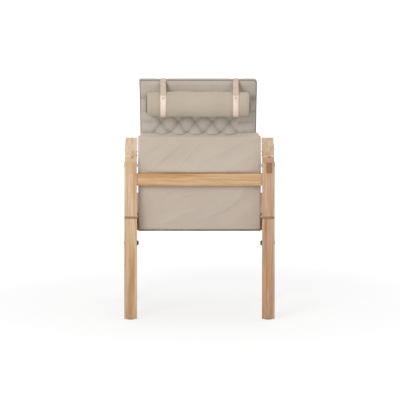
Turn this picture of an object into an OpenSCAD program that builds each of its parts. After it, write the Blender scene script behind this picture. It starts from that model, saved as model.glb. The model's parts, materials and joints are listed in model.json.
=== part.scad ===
// Lounge chair with an oak frame, a canvas back that leans on a cross bar,
// tufted canvas cushions and a pair of rolls hung on leather straps.
// Millimetres. +Z is up, the sitter faces +Y, and the origin is on the floor
// under the middle of the chair.

/* [Frame] */
// Width over the rear legs
chair_w = 602; // [580:1:640]
// Width of a rear leg, an upright and an arm, across the chair
rear_leg_w = 50.8; // [48:0.2:56]
// Depth of a rear leg below its lap
rear_leg_d = 41; // [38:1:48]
// Depth of the upright that is lapped onto the rear leg
upright_d = 26; // [22:1:28]
// How far the upright stands proud of the leg below it
upright_proud = 3; // [1:0.5:6]
// Height of the upright's rounded foot
upright_foot_z = 410; // [395:1:425]
// Width of a front leg
front_leg_w = 44; // [42:1:50]
// Depth of a front leg
front_leg_d = 45; // [40:1:52]
// From the back of the uprights to the front of the front legs
frame_d = 515; // [500:1:540]
// Radius along the upright's lower lip
lip_r = 6; // [3:0.5:8]

/* [Arms] */
// Height of an arm's top at the back
arm_rear_z = 662; // [650:1:680]
// Height of an arm's top at the front
arm_front_z = 654; // [640:1:672]
// Thickness of an arm
arm_t = 24; // [20:1:28]
// How far an arm's outer side stands in from the leg's
arm_side_in = 2.4; // [0:0.2:4]
// How far an arm runs past the frame at the back
arm_rear_over = 3; // [1:0.5:6]
// How far an arm runs past the frame at the front
arm_front_over = 15; // [8:1:25]
// Width of the tongue that an arm sets into its upright
tongue_w = 24; // [20:1:26]
// Height of that tongue
tongue_h = 43; // [38:1:50]
// From the upright's inner face to the middle of the tongue
tongue_in = 29; // [27:0.5:31]

/* [Rails] */
// Thickness of a side rail
side_rail_t = 24; // [20:1:26]
// Height of a side rail's lower edge
side_rail_z = 290; // [280:1:292]
// Height of a side rail, edge to edge
side_rail_h = 55; // [50:1:58]
// Height of the front rail's lower edge
front_rail_z = 323; // [322:1:330]
// Height of the front rail's top at its back
front_rail_top = 392; // [386:1:396]
// Thickness of the front rail
front_rail_t = 22; // [18:1:26]
// Height of the rear seat rail
rear_rail_h = 30; // [26:1:34]
// Depth of the rear seat rail
rear_rail_t = 22; // [18:1:24]
// Height of the cross bar's lower edge
bar_z = 543; // [530:1:555]
// Height of the cross bar, edge to edge
bar_h = 49; // [42:1:54]
// Thickness of the cross bar
bar_t = 22; // [18:1:24]

/* [Back] */
// Lean of the back from upright, in degrees
recline = 12; // [8:0.5:16]
// Height of the back's hinge
pivot_z = 407; // [400:1:414]
// Gap between the canvas panel's side and a rear leg
panel_gap = 5.5; // [5.2:0.1:12]
// From the hinge down to the panel's lower edge
panel_foot = 53; // [45:1:56]
// From the hinge up to the panel's top edge
panel_top = 346.5; // [330:0.5:350]
// Width of a back stile
stile_w = 24; // [20:1:28]
// Thickness of the back frame
back_t = 22; // [18:1:24]
// Height of a rail in the back frame
back_rail_h = 34; // [28:1:40]
// Thickness of the canvas, as lined and hemmed
canvas_t = 2; // [1.5:0.1:3]

/* [Cushions] */
// From the canvas panel's side in to the back cushion's side
cushion_inset = 11.7; // [5:0.1:20]
// From the hinge up to the back cushion's lower edge
cushion_foot = 48; // [44:1:60]
// From the hinge up to the back cushion's top edge
cushion_top = 577; // [560:1:590]
// From the hinge line forward to the back cushion's middle plane at its edge
cushion_mid = 24; // [22:0.5:28]
// Rise of the back cushion's faces above its edge band
cushion_rise = 28; // [24:1:32]
// Height of a cushion's edge band
edge_band = 16; // [12:1:20]
// Depth of a sewn tuft
tuft_depth = 7; // [4:0.5:8]
// Gap between the seat cushion's side and a front leg
seat_gap = 3; // [1.5:0.1:12]
// Thickness of the seat cushion at its crown
seat_cushion_t = 68; // [55:1:72]
// How far the seat cushion runs past the front rail
seat_front_over = 6; // [0:1:14]

/* [Rolls and straps] */
// Radius of the rear roll
rear_roll_r = 50; // [44:1:54]
// Radius of the neck roll
neck_roll_r = 45; // [40:1:50]
// From the back cushion's side in to a roll's end
roll_inset = 25; // [18:1:40]
// From the hinge up to the rear roll's middle
rear_roll_u = 507; // [495:1:515]
// From the hinge up to the neck roll's middle
neck_roll_u = 465; // [450:1:472]
// Rounding at the ends of a roll
roll_end_r = 12; // [6:1:16]
// Width of a leather strap
strap_w = 22; // [18:1:26]
// Thickness of the leather
leather_t = 2.5; // [2:0.1:3]
// From a roll's end to the middle of its strap
strap_inset = 63; // [40:1:90]

/* [Fasteners] */
// Radius of the bolts
bolt_r = 4; // [3:0.5:5]
// Radius of a bolt's head
bolt_head_r = 7; // [6:0.5:8]
// Thickness of a bolt's head
bolt_head_t = 2.6; // [2:0.1:4]
// Radius of the washers on the rail bolts
washer_r = 12; // [10:0.5:13]
// Thickness of those washers
washer_t = 2.4; // [1.5:0.1:3]
// Radius of the hinge pins
pin_r = 5; // [4:0.5:6]
// Thickness of the foot glides
glide_t = 3; // [2:0.5:5]
// Radius of the foot glides
glide_r = 16; // [12:1:19]

/* [Hidden] */
oak = "#d3a374";
pale_oak = "#dcb489";
canvas = "#c3b3a0";
leather = "#e6cbb2";
steel = "#5a5856";
bright_steel = "#b9b7b2";
brass = "#b79a5b";
rubber = "#3a3836";

joint_gap = 0.15;     // between two pieces of wood in a joint
soft_gap = 0.3;       // between a soft piece and its neighbour
run_fit = 0.05;       // radial clearance of a running pin
bore_fit = 0.1;       // radial clearance of a bolt in wood
cut = 1;              // overrun of every cut

leg_out_x = chair_w / 2;
leg_in_x = leg_out_x - rear_leg_w;
front_in_x = leg_out_x - front_leg_w;
leg_front_y = upright_proud + rear_leg_d;
front_leg_y = frame_d - front_leg_d;
arm_back_y = -arm_rear_over;
arm_end_y = frame_d + arm_front_over;
arm_len = arm_end_y - arm_back_y;
function arm_top(y) = arm_rear_z + (arm_front_z - arm_rear_z) * (y - arm_back_y) / arm_len;
function arm_under(y) = arm_top(y) - arm_t;

tongue_x = leg_in_x + tongue_in;
tongue_foot_z = arm_under(0) - tongue_h;
tenon_w = 20;         // front tenon of an arm, across the chair
tenon_inset = 8;      // wood left before and behind that tenon
arm_bolt_drop = 13.5; // from the arm's underside down to the rear bolt
arm_bolt_z = arm_under(0) - arm_bolt_drop;
arm_bolt_y = upright_d / 2;
tenon_bolt_drop = 20;
tenon_bolt_z = arm_under(frame_d) - tenon_bolt_drop;
tenon_bolt_y = frame_d - front_leg_d / 2;

side_rail_x = leg_in_x + (rear_leg_w - side_rail_t) / 2;
side_rail_inset = 5;  // wood left behind the ends of a side rail
side_rail_back_y = upright_proud + side_rail_inset;
side_rail_end_y = frame_d - side_rail_inset;
side_rail_top = side_rail_z + side_rail_h;
rail_bolt_z = side_rail_z + side_rail_h / 3;
rail_bolt_shift = 3;  // rear bolt's place, forward of the leg's middle
rail_bolt_ys = [upright_proud + rear_leg_d / 2 + rail_bolt_shift, frame_d - front_leg_d / 2];
nut_r = 7.5;          // nut on a rail bolt
nut_t = 4.6;

front_rail_set = 6;   // rail's back, forward of the front leg's back
front_rail_y = front_leg_y + front_rail_set;
rail_tenon = 12;      // length of a rail's tenon in a leg
tenon_shoulder = 8;   // wood left above and below a rail's tenon

bar_back_y = upright_d - bar_t;
bar_top_z = bar_z + bar_h;
bar_tenon = 26;
bar_tenon_t = 10;

lap_screw_r = 2.5;
lap_screw_head_r = 5;
lap_screw_low = 28;   // lower screw, above the upright's foot
lap_screw_high = 26;  // upper screw, below the cross bar
lap_screw_zs = [upright_foot_z + lap_screw_low, bar_z - lap_screw_high];

// The back stands in its own frame: the hinge line is its origin, its Z runs
// up the back and its Y forward, square to the panel.
panel_face = -(back_t / 2 + canvas_t);
panel_half_w = leg_in_x - panel_gap;
pivot_y = upright_d + ((bar_top_z - pivot_z) * sin(recline) - panel_face + soft_gap) / cos(recline);
stile_out_x = panel_half_w - canvas_t - joint_gap;
stile_in_x = stile_out_x - stile_w;
frame_foot = -(panel_foot - canvas_t - joint_gap);
frame_top = panel_top - canvas_t - joint_gap;
cushion_half_w = panel_half_w - cushion_inset;
lumbar_u = 150;
post_w = 18;          // headrest post
post_t = 14;
post_inset = 47;      // from the cushion's side in to a headrest post
post_x = cushion_half_w - post_inset;
post_back = 6;        // back of a headrest post, forward of the hinge line
post_tenon = 20;
post_tenon_t = 8;
tenon_back = 2;       // back of the post's tenon
headrest_drop = 32;   // from the cushion's top edge down to the headrest rail
headrest_top = cushion_top - headrest_drop;
headrest_h = 28;

bush_wall = 2;
bush_inset = 4;
bush_in_x = stile_in_x + bush_inset;
bracket_t = 4;
bracket_in_x = side_rail_x - bracket_t;
bracket_half_w = 19;
bracket_lift = 4;     // bracket's foot, above the side rail's lower edge
bracket_foot_z = side_rail_z + bracket_lift;
bracket_screw_r = 2.5;
bracket_screw_in = 14;
bracket_screw_zs = [side_rail_z + bracket_screw_in, side_rail_top - bracket_screw_in];
washer_out_r = 10;    // leather washer on a hinge pin
spacer_r = 7;
hole_margin = 1.5;
canvas_hole_r = washer_out_r + hole_margin;

tab_low = 18;         // leather tab, up from the hinge
tab_h = 26;
tab_gap = 0.2;
tab_stud_r = 4;
tab_stud_t = 1.8;

// The seat's deck runs from the rear seat rail to the front rail.
rear_rail_gap = 8;    // between the panel's foot and the rear seat rail
rear_rail_y = pivot_y + panel_foot * sin(recline) + back_t / 2 * cos(recline) + rear_rail_gap;
rear_rail_z = side_rail_top;
deck_back_z = rear_rail_z + rear_rail_h;
deck_run = front_rail_y + front_rail_t - rear_rail_y;
deck_tilt = atan((front_rail_top - deck_back_z) / deck_run);
deck_len = deck_run / cos(deck_tilt);
function deck_z(y) = deck_back_z + (y - rear_rail_y) * tan(deck_tilt);
webbing_t = 1.8;
webbing_w = 50;
webbing_count = 5;
deck_flap = 38;       // canvas turned down over the front rail
seat_half_w = front_in_x - seat_gap;
deck_inset = 6;       // from the seat cushion's side in to the webbing
deck_half_w = seat_half_w - deck_inset;
rear_screw_y = rear_rail_y + rear_rail_t / 2;

neck_face = cushion_mid + edge_band / 2 + cushion_rise;
back_face = cushion_mid - edge_band / 2 - cushion_rise;
loop_gap = 0.1;
roll_clear = 1.2;     // between a roll's loop and the cushion
roll_len = 2 * (cushion_half_w - roll_inset);
strap_x = roll_len / 2 - strap_inset;
rear_loop_r = rear_roll_r + loop_gap + leather_t;
neck_loop_r = neck_roll_r + loop_gap + leather_t;
rear_roll_n = back_face - roll_clear - rear_loop_r;
neck_roll_n = neck_face + roll_clear + neck_loop_r;
button_r = 9;         // covered button on the end of a roll
button_t = 3;
strap_top = cushion_top + soft_gap;
strap_mid = cushion_mid;
strap_shoulder = 17;  // half the strap's flat run over the cushion's top
strap_stud_r = 3.5;
strap_stud_t = 1.4;

// Where a strap's straight drop meets the loop round a roll
function tangent_angle(a, c, r, side) =
    atan2(a[1] - c[1], a[0] - c[0]) + side * acos(r / norm(a - c));
function on_circle(c, r, angle) = c + r * [cos(angle), sin(angle)];
rear_c = [rear_roll_n, rear_roll_u];
neck_c = [neck_roll_n, neck_roll_u];
rear_shoulder = [strap_mid - strap_shoulder, strap_top];
neck_shoulder = [strap_mid + strap_shoulder, strap_top];
rear_drop_r = rear_loop_r + soft_gap;
neck_drop_r = neck_loop_r + soft_gap;
rear_angle = tangent_angle(rear_shoulder, rear_c, rear_drop_r, 1);
neck_angle = tangent_angle(neck_shoulder, neck_c, neck_drop_r, -1);

// The box round the whole chair is centred on the origin.
rear_reach = pivot_y - rear_roll_u * sin(recline) + rear_roll_n * cos(recline) - rear_loop_r;
chair_y = -(arm_end_y + rear_reach) / 2;

// Stations of a tufted cushion: a tuft every four columns and two rows
tuft_cols = 28;
back_rows_low = 11;
back_rows_high = 9;
back_rows = back_rows_low + back_rows_high;
seat_rows = 16;
step_rise = 9;        // height over which the back face swells out
side_pull = 4;        // how far a side draws in between its corners
full_power = 6;

// Moves the frame's own measures, taken from the back of the uprights, to the chair's origin
module placed() translate([0, chair_y, 0]) children();

// Stands a piece in the back's own frame
module in_back() placed() translate([0, pivot_y, pivot_z]) rotate([recline, 0, 0]) children();

// Lays a piece on the seat's deck, from the rear rail's top edge
module on_deck() placed() translate([0, rear_rail_y, deck_back_z]) rotate([deck_tilt, 0, 0]) children();

// Extrudes a side view, drawn in Y and Z, along X
module along_x(x0, w) translate([x0, 0, 0]) rotate([90, 0, 90]) linear_extrude(w) children();

// A round bar along X
module round_x(x0, w, y, z, r) translate([x0, y, z]) rotate([0, 90, 0]) cylinder(r = r, h = w, $fn = 48);

// A round bar along Y
module round_y(x, y0, w, z, r) translate([x, y0, z]) rotate([-90, 0, 0]) cylinder(r = r, h = w, $fn = 32);

module left_too() {
    children();
    mirror([1, 0, 0]) children();
}

module arm_slot() {
    translate([tongue_x - tongue_w / 2 - joint_gap, -cut, tongue_foot_z - joint_gap])
        cube([tongue_w + 2 * joint_gap, leg_front_y + 2 * cut, tongue_h + arm_t]);
}

module arm_bolt_bores(r) {
    round_x(leg_in_x - cut, rear_leg_w + 2 * cut, arm_bolt_y, arm_bolt_z, r);
    round_x(leg_in_x - cut, rear_leg_w + 2 * cut, tenon_bolt_y, tenon_bolt_z, r);
}

module rail_bolt_bores(r) {
    for (y = rail_bolt_ys) round_x(leg_in_x - cut, rear_leg_w + 2 * cut, y, rail_bolt_z, r);
}

module side_rail_body(gap) {
    translate([side_rail_x - gap, side_rail_back_y - gap, side_rail_z - gap])
        cube([side_rail_t + 2 * gap, side_rail_end_y - side_rail_back_y + 2 * gap, side_rail_h + 2 * gap]);
}

module lap_screw_bores(r) {
    for (z = lap_screw_zs) round_y(leg_in_x + rear_leg_w / 2, upright_d / 2, leg_front_y, z, r);
}

module bar_tenon_body(gap) {
    translate([-leg_in_x - bar_tenon - gap, bar_back_y + (bar_t - bar_tenon_t) / 2 - gap,
        bar_z + tenon_shoulder - gap])
        cube([2 * (leg_in_x + bar_tenon + gap), bar_tenon_t + 2 * gap, bar_h - 2 * tenon_shoulder + 2 * gap]);
}

front_tenon_z = side_rail_top + tenon_shoulder;
module front_rail_tenon(gap) {
    translate([-front_in_x - rail_tenon - gap, front_rail_y + tenon_shoulder / 2 - gap, front_tenon_z - gap])
        cube([2 * (front_in_x + rail_tenon + gap), front_rail_t - tenon_shoulder + 2 * gap,
            front_rail_top - tenon_shoulder - front_tenon_z + 2 * gap]);
}

module rear_leg_right() color(oak) placed() difference() {
    along_x(leg_in_x, rear_leg_w) polygon([
        [upright_proud, glide_t], [leg_front_y, glide_t], [leg_front_y, arm_under(leg_front_y)],
        [upright_d, arm_under(upright_d)], [upright_d, upright_foot_z], [upright_proud, upright_foot_z]]);
    arm_slot();
    side_rail_body(joint_gap);
    rail_bolt_bores(bolt_r + bore_fit);
    lap_screw_bores(lap_screw_r + bore_fit);
}
module rear_leg_left() mirror([1, 0, 0]) rear_leg_right();

module rear_upright_right() color(oak) placed() difference() {
    union() {
        along_x(leg_in_x, rear_leg_w) polygon([
            [lip_r, upright_foot_z], [upright_d, upright_foot_z], [upright_d, arm_under(upright_d)],
            [0, arm_under(0)], [0, upright_foot_z + lip_r], [lip_r, upright_foot_z + lip_r]]);
        round_x(leg_in_x, rear_leg_w, lip_r, upright_foot_z + lip_r, lip_r);
    }
    arm_slot();
    bar_tenon_body(joint_gap);
    arm_bolt_bores(bolt_r + bore_fit);
    lap_screw_bores(lap_screw_r + bore_fit);
}
module rear_upright_left() mirror([1, 0, 0]) rear_upright_right();

module arm_front_tenon(gap) {
    translate([tongue_x - tenon_w / 2 - gap, front_leg_y + tenon_inset - gap,
        arm_under(frame_d) - tongue_h - gap])
        cube([tenon_w + 2 * gap, front_leg_d - 2 * tenon_inset + 2 * gap, tongue_h + arm_t / 2]);
}

module front_leg_right() color(oak) placed() difference() {
    along_x(front_in_x, front_leg_w) polygon([
        [front_leg_y, glide_t], [frame_d, glide_t], [frame_d, arm_under(frame_d)],
        [front_leg_y, arm_under(front_leg_y)]]);
    arm_front_tenon(joint_gap);
    side_rail_body(joint_gap);
    rail_bolt_bores(bolt_r + bore_fit);
    arm_bolt_bores(bolt_r + bore_fit);
    front_rail_tenon(joint_gap);
}
module front_leg_left() mirror([1, 0, 0]) front_leg_right();

module armrest_right() color(pale_oak) placed() difference() {
    union() {
        along_x(leg_in_x, rear_leg_w - arm_side_in) polygon([
            [arm_back_y, arm_under(arm_back_y)], [arm_end_y, arm_under(arm_end_y)],
            [arm_end_y, arm_front_z], [arm_back_y, arm_rear_z]]);
        translate([tongue_x - tongue_w / 2, 0, tongue_foot_z])
            cube([tongue_w, leg_front_y, tongue_h + arm_t / 2]);
        arm_front_tenon(0);
    }
    arm_bolt_bores(bolt_r + bore_fit);
}
module armrest_left() mirror([1, 0, 0]) armrest_right();

module side_rail_right() color(oak) placed() difference() {
    side_rail_body(0);
    rail_bolt_bores(bolt_r + bore_fit);
    for (z = bracket_screw_zs)
        round_x(side_rail_x - cut, side_rail_t / 2 + cut, pivot_y, z, bracket_screw_r + bore_fit);
    translate([side_rail_x + side_rail_t / 2, rear_screw_y, side_rail_top - rear_rail_h / 2])
        cylinder(r = lap_screw_r + bore_fit, h = rear_rail_h, $fn = 32);
}
module side_rail_left() mirror([1, 0, 0]) side_rail_right();

module front_rail() color(oak) placed() union() {
    along_x(-front_in_x + joint_gap, 2 * (front_in_x - joint_gap)) polygon([
        [front_rail_y, front_rail_z], [front_rail_y + front_rail_t, front_rail_z],
        [front_rail_y + front_rail_t, deck_z(front_rail_y + front_rail_t)],
        [front_rail_y, deck_z(front_rail_y)]]);
    front_rail_tenon(0);
}

module rear_rail() color(oak) placed() difference() {
    along_x(-side_rail_x - side_rail_t, 2 * (side_rail_x + side_rail_t)) polygon([
        [rear_rail_y, rear_rail_z + joint_gap], [rear_rail_y + rear_rail_t, rear_rail_z + joint_gap],
        [rear_rail_y + rear_rail_t, deck_z(rear_rail_y + rear_rail_t)], [rear_rail_y, deck_back_z]]);
    left_too() translate([side_rail_x + side_rail_t / 2, rear_screw_y, rear_rail_z - cut])
        cylinder(r = lap_screw_r + bore_fit, h = rear_rail_h + 3 * cut, $fn = 32);
}

module back_bar() color(pale_oak) placed() union() {
    translate([-leg_in_x + joint_gap, bar_back_y, bar_z]) cube([2 * (leg_in_x - joint_gap), bar_t, bar_h]);
    bar_tenon_body(0);
}

module seat_webbing() color(canvas) on_deck() {
    pitch = (2 * deck_half_w - webbing_w) / (webbing_count - 1);
    for (i = [0 : webbing_count - 1])
        translate([-deck_half_w + i * pitch, 0, joint_gap]) cube([webbing_w, deck_len, webbing_t]);
}

module seat_canvas() color(canvas) on_deck() along_x(-deck_half_w, 2 * deck_half_w) polygon([
    [0, webbing_t + 2 * joint_gap], [deck_len + joint_gap, webbing_t + 2 * joint_gap],
    [deck_len + joint_gap, -deck_flap], [deck_len + joint_gap + canvas_t, -deck_flap],
    [deck_len + joint_gap + canvas_t, webbing_t + canvas_t + 2 * joint_gap],
    [0, webbing_t + canvas_t + 2 * joint_gap]]);

// Fullness of a stuffed face, 1 in the middle and 0 at the edge
function fullness(a, b) = sqrt((1 - pow(abs(a), full_power)) * (1 - pow(abs(b), full_power)));
// Diamond pattern of tufts, 1 at a tuft and 0 half-way between four
function tuft(i, j) = pow((1 + cos(90 * i) * cos(90 * j)) / 2, 2);
function share(i, n) = 2 * i / n - 1;

// Closed solid between two grids of points: front faces +Y, rear faces -Y
module stuffed(front, rear, nx, ny) {
    n = (nx + 1) * (ny + 1);
    function f(i, j) = j * (nx + 1) + i;
    function r(i, j) = n + f(i, j);
    // The squares' diagonals alternate, so that each tuft is drawn in alike from all sides
    skin = [for (j = [0 : ny - 1], i = [0 : nx - 1]) each (i + j) % 2 == 0
        ? [[f(i, j), f(i + 1, j), f(i + 1, j + 1)], [f(i, j), f(i + 1, j + 1), f(i, j + 1)],
            [r(i, j), r(i + 1, j + 1), r(i + 1, j)], [r(i, j), r(i, j + 1), r(i + 1, j + 1)]]
        : [[f(i, j), f(i + 1, j), f(i, j + 1)], [f(i + 1, j), f(i + 1, j + 1), f(i, j + 1)],
            [r(i, j), r(i, j + 1), r(i + 1, j)], [r(i + 1, j), r(i, j + 1), r(i + 1, j + 1)]]];
    sides = [for (j = [0 : ny - 1]) each [
        [f(0, j), f(0, j + 1), r(0, j + 1)], [f(0, j), r(0, j + 1), r(0, j)],
        [f(nx, j), r(nx, j + 1), f(nx, j + 1)], [f(nx, j), r(nx, j), r(nx, j + 1)]]];
    ends = [for (i = [0 : nx - 1]) each [
        [f(i, 0), r(i + 1, 0), f(i + 1, 0)], [f(i, 0), r(i, 0), r(i + 1, 0)],
        [f(i, ny), f(i + 1, ny), r(i + 1, ny)], [f(i, ny), r(i + 1, ny), r(i, ny)]]];
    polyhedron(points = concat(front, rear), faces = concat(skin, sides, ends));
}

seat_len = front_rail_y + front_rail_t + seat_front_over - rear_rail_y;
seat_x = function (i, j) share(i, tuft_cols)
    * (seat_half_w - side_pull * (1 - pow(share(j, seat_rows), 2)));
seat_s = function (j) -seat_len * j / seat_rows;
seat_hi = function (i, j) edge_band + (seat_cushion_t - edge_band)
    * fullness(share(i, tuft_cols), share(j, seat_rows))
    - tuft_depth * tuft(i, j) * fullness(share(i, tuft_cols), share(j, seat_rows));

module seat_cushion() color(canvas) on_deck()
    translate([0, 0, webbing_t + canvas_t + 2 * joint_gap + soft_gap]) rotate([90, 0, 0])
    stuffed(
        [for (j = [0 : seat_rows], i = [0 : tuft_cols]) [seat_x(i, j), seat_hi(i, j), seat_s(j)]],
        [for (j = [0 : seat_rows], i = [0 : tuft_cols]) [seat_x(i, j), 0, seat_s(j)]],
        tuft_cols, seat_rows);

// The cushion's back face lies on the back frame up to the panel's top edge and swells out above it
step_u = panel_top + soft_gap;
back_u = function (j) j <= back_rows_low
    ? cushion_foot + (step_u - cushion_foot) * j / back_rows_low
    : step_u + step_rise
        + (cushion_top - step_u - step_rise) * (j - back_rows_low - 1) / (back_rows_high - 1);
back_b = function (j) share(back_u(j) - cushion_foot, cushion_top - cushion_foot);
back_x = function (i, j) share(i, tuft_cols) * (cushion_half_w - side_pull * (1 - pow(back_b(j), 2)));
back_lift = function (i, j) fullness(share(i, tuft_cols), back_b(j));
back_front = function (i, j) cushion_mid + edge_band / 2
    + (cushion_rise - tuft_depth * tuft(i, j)) * back_lift(i, j);
back_rear = function (i, j) j <= back_rows_low
    ? back_t / 2 + soft_gap
    : cushion_mid - edge_band / 2 - (cushion_rise - tuft_depth * tuft(i, j)) * back_lift(i, j);

module headrest_frame(gap) {
    left_too() translate([post_x - gap, post_back - gap, frame_top])
        cube([post_w + 2 * gap, post_t + 2 * gap, headrest_top - frame_top + gap]);
    translate([-post_x - gap, post_back - gap, headrest_top - headrest_h - gap])
        cube([2 * (post_x + gap), post_t + 2 * gap, headrest_h + 2 * gap]);
}

module back_cushion() color(canvas) in_back() difference() {
    stuffed(
        [for (j = [0 : back_rows], i = [0 : tuft_cols]) [back_x(i, j), back_front(i, j), back_u(j)]],
        [for (j = [0 : back_rows], i = [0 : tuft_cols]) [back_x(i, j), back_rear(i, j), back_u(j)]],
        tuft_cols, back_rows);
    headrest_frame(soft_gap);
}

module back_stile_right() color(oak) in_back() difference() {
    translate([stile_in_x, -back_t / 2, frame_foot]) cube([stile_w, back_t, frame_top - frame_foot]);
    round_x(bush_in_x, stile_w, 0, 0, pin_r + run_fit + bush_wall);
}
module back_stile_left() mirror([1, 0, 0]) back_stile_right();

module back_rail(u) translate([-stile_in_x + joint_gap, -back_t / 2, u])
    cube([2 * (stile_in_x - joint_gap), back_t, back_rail_h]);

module back_bottom_rail() color(oak) in_back() back_rail(frame_foot);
module back_lumbar_rail() color(oak) in_back() back_rail(lumbar_u);
module back_mid_rail() color(oak) in_back() difference() {
    back_rail(frame_top - back_rail_h);
    left_too() translate([post_x - joint_gap, tenon_back - joint_gap, frame_top - post_tenon - joint_gap])
        cube([post_w + 2 * joint_gap, post_tenon_t + 2 * joint_gap, post_tenon + joint_gap + cut]);
}

module headrest_post_right() color(oak) in_back() union() {
    translate([post_x, post_back, frame_top + joint_gap])
        cube([post_w, post_t, headrest_top - frame_top - joint_gap]);
    translate([post_x, tenon_back, frame_top - post_tenon]) cube([post_w, post_tenon_t, post_tenon + cut]);
}
module headrest_post_left() mirror([1, 0, 0]) headrest_post_right();

module headrest_rail() color(oak) in_back()
    translate([-post_x + joint_gap, post_back, headrest_top - headrest_h])
        cube([2 * (post_x - joint_gap), post_t, headrest_h]);

module back_canvas() color(canvas) in_back() difference() {
    translate([-panel_half_w, panel_face, -panel_foot])
        cube([2 * panel_half_w, back_t + canvas_t, panel_foot + panel_top]);
    translate([-panel_half_w + canvas_t, panel_face + canvas_t - joint_gap, -panel_foot + canvas_t])
        cube([2 * (panel_half_w - canvas_t), back_t + 2 * cut, panel_foot + panel_top - 2 * canvas_t]);
    left_too() translate([post_x - soft_gap, tenon_back - soft_gap, panel_top - canvas_t - cut])
        cube([post_w + 2 * soft_gap, back_t, canvas_t + 2 * cut]);
    left_too() round_x(stile_out_x - cut, rear_leg_w, 0, 0, canvas_hole_r);
    left_too() translate([panel_half_w - canvas_t - cut, 0, -canvas_hole_r])
        cube([canvas_t + 2 * cut, back_t, 2 * canvas_hole_r]);
}

module hinge_bushes() color(brass) in_back() left_too() difference() {
    round_x(bush_in_x, stile_out_x - bush_in_x, 0, 0, pin_r + run_fit + bush_wall);
    round_x(bush_in_x - cut, stile_w, 0, 0, pin_r + run_fit);
}

module hinge_washers() color(leather) in_back() left_too() difference() {
    round_x(stile_out_x + joint_gap, leather_t, 0, 0, washer_out_r);
    round_x(stile_out_x - cut, rear_leg_w, 0, 0, pin_r + run_fit);
}

spacer_x = stile_out_x + joint_gap + leather_t + soft_gap;
module hinge_spacers() color(bright_steel) placed() left_too() difference() {
    round_x(spacer_x, bracket_in_x - spacer_x, pivot_y, pivot_z, spacer_r);
    round_x(spacer_x - cut, rear_leg_w, pivot_y, pivot_z, pin_r);
}

module hinge_pins() color(bright_steel) placed() left_too()
    round_x(bush_in_x + joint_gap, side_rail_x - bush_in_x - joint_gap, pivot_y, pivot_z, pin_r);

module hinge_bracket_right() color(steel) placed() difference() {
    union() {
        along_x(bracket_in_x, bracket_t) polygon([
            [pivot_y - bracket_half_w, bracket_foot_z], [pivot_y + bracket_half_w, bracket_foot_z],
            [pivot_y + bracket_half_w, pivot_z], [pivot_y - bracket_half_w, pivot_z]]);
        round_x(bracket_in_x, bracket_t, pivot_y, pivot_z, bracket_half_w);
    }
    round_x(bracket_in_x - cut, rear_leg_w, pivot_y, pivot_z, pin_r);
    for (z = bracket_screw_zs)
        round_x(bracket_in_x - cut, rear_leg_w, pivot_y, z, bracket_screw_r + bore_fit);
}
module hinge_bracket_left() mirror([1, 0, 0]) hinge_bracket_right();

module bracket_screws() color(steel) placed() left_too() for (z = bracket_screw_zs) {
    round_x(bracket_in_x - joint_gap, side_rail_t / 2, pivot_y, z, bracket_screw_r);
    round_x(bracket_in_x - bolt_head_t, bolt_head_t, pivot_y, z, lap_screw_head_r);
}

// A leather tab lies on the panel's side and turns onto the front of the stile
module leather_tab_right() color(leather) in_back() difference() {
    translate([stile_in_x, -back_t / 2, tab_low])
        cube([panel_half_w + tab_gap + leather_t - stile_in_x, back_t + joint_gap + leather_t, tab_h]);
    translate([stile_in_x - cut, -back_t / 2 - cut, tab_low - cut])
        cube([panel_half_w + tab_gap - stile_in_x + cut, back_t + joint_gap + cut, tab_h + 2 * cut]);
}
module leather_tab_left() mirror([1, 0, 0]) leather_tab_right();

module tab_studs() color(bright_steel) in_back() left_too()
    round_y((stile_in_x + stile_out_x) / 2, back_t / 2 + joint_gap + leather_t, tab_stud_t,
        tab_low + tab_h / 2, tab_stud_r);

module arm_bolts() color(steel) placed() left_too() {
    round_x(leg_in_x - joint_gap, rear_leg_w + 2 * joint_gap, arm_bolt_y, arm_bolt_z, bolt_r);
    round_x(front_in_x - joint_gap, front_leg_w + 2 * joint_gap, tenon_bolt_y, tenon_bolt_z, bolt_r);
}

module arm_bolt_heads() color(steel) placed() left_too() {
    for (x = [leg_in_x - joint_gap - bolt_head_t, leg_out_x + joint_gap])
        round_x(x, bolt_head_t, arm_bolt_y, arm_bolt_z, bolt_head_r);
    for (x = [front_in_x - joint_gap - bolt_head_t, leg_out_x + joint_gap])
        round_x(x, bolt_head_t, tenon_bolt_y, tenon_bolt_z, bolt_head_r);
}

module rail_bolts() color(steel) placed() left_too() for (k = [0, 1]) {
    inner = k == 0 ? leg_in_x : front_in_x;
    round_x(inner - washer_t - nut_t, leg_out_x - inner + washer_t + nut_t + joint_gap,
        rail_bolt_ys[k], rail_bolt_z, bolt_r);
    round_x(leg_out_x + joint_gap, bolt_head_t, rail_bolt_ys[k], rail_bolt_z, bolt_head_r);
}

module rail_washers() color(steel) placed() left_too() for (k = [0, 1]) {
    inner = k == 0 ? leg_in_x : front_in_x;
    difference() {
        union() {
            round_x(inner - washer_t - joint_gap, washer_t, rail_bolt_ys[k], rail_bolt_z, washer_r);
            round_x(inner - washer_t - nut_t, nut_t, rail_bolt_ys[k], rail_bolt_z, nut_r);
        }
        round_x(inner - rear_leg_w, rear_leg_w, rail_bolt_ys[k], rail_bolt_z, bolt_r);
    }
}

module lap_screws() color(steel) placed() left_too() for (z = lap_screw_zs) {
    round_y(leg_in_x + rear_leg_w / 2, upright_d / 2 + joint_gap,
        leg_front_y - upright_d / 2, z, lap_screw_r);
    round_y(leg_in_x + rear_leg_w / 2, leg_front_y + joint_gap, bolt_head_t, z, lap_screw_head_r);
}

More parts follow.
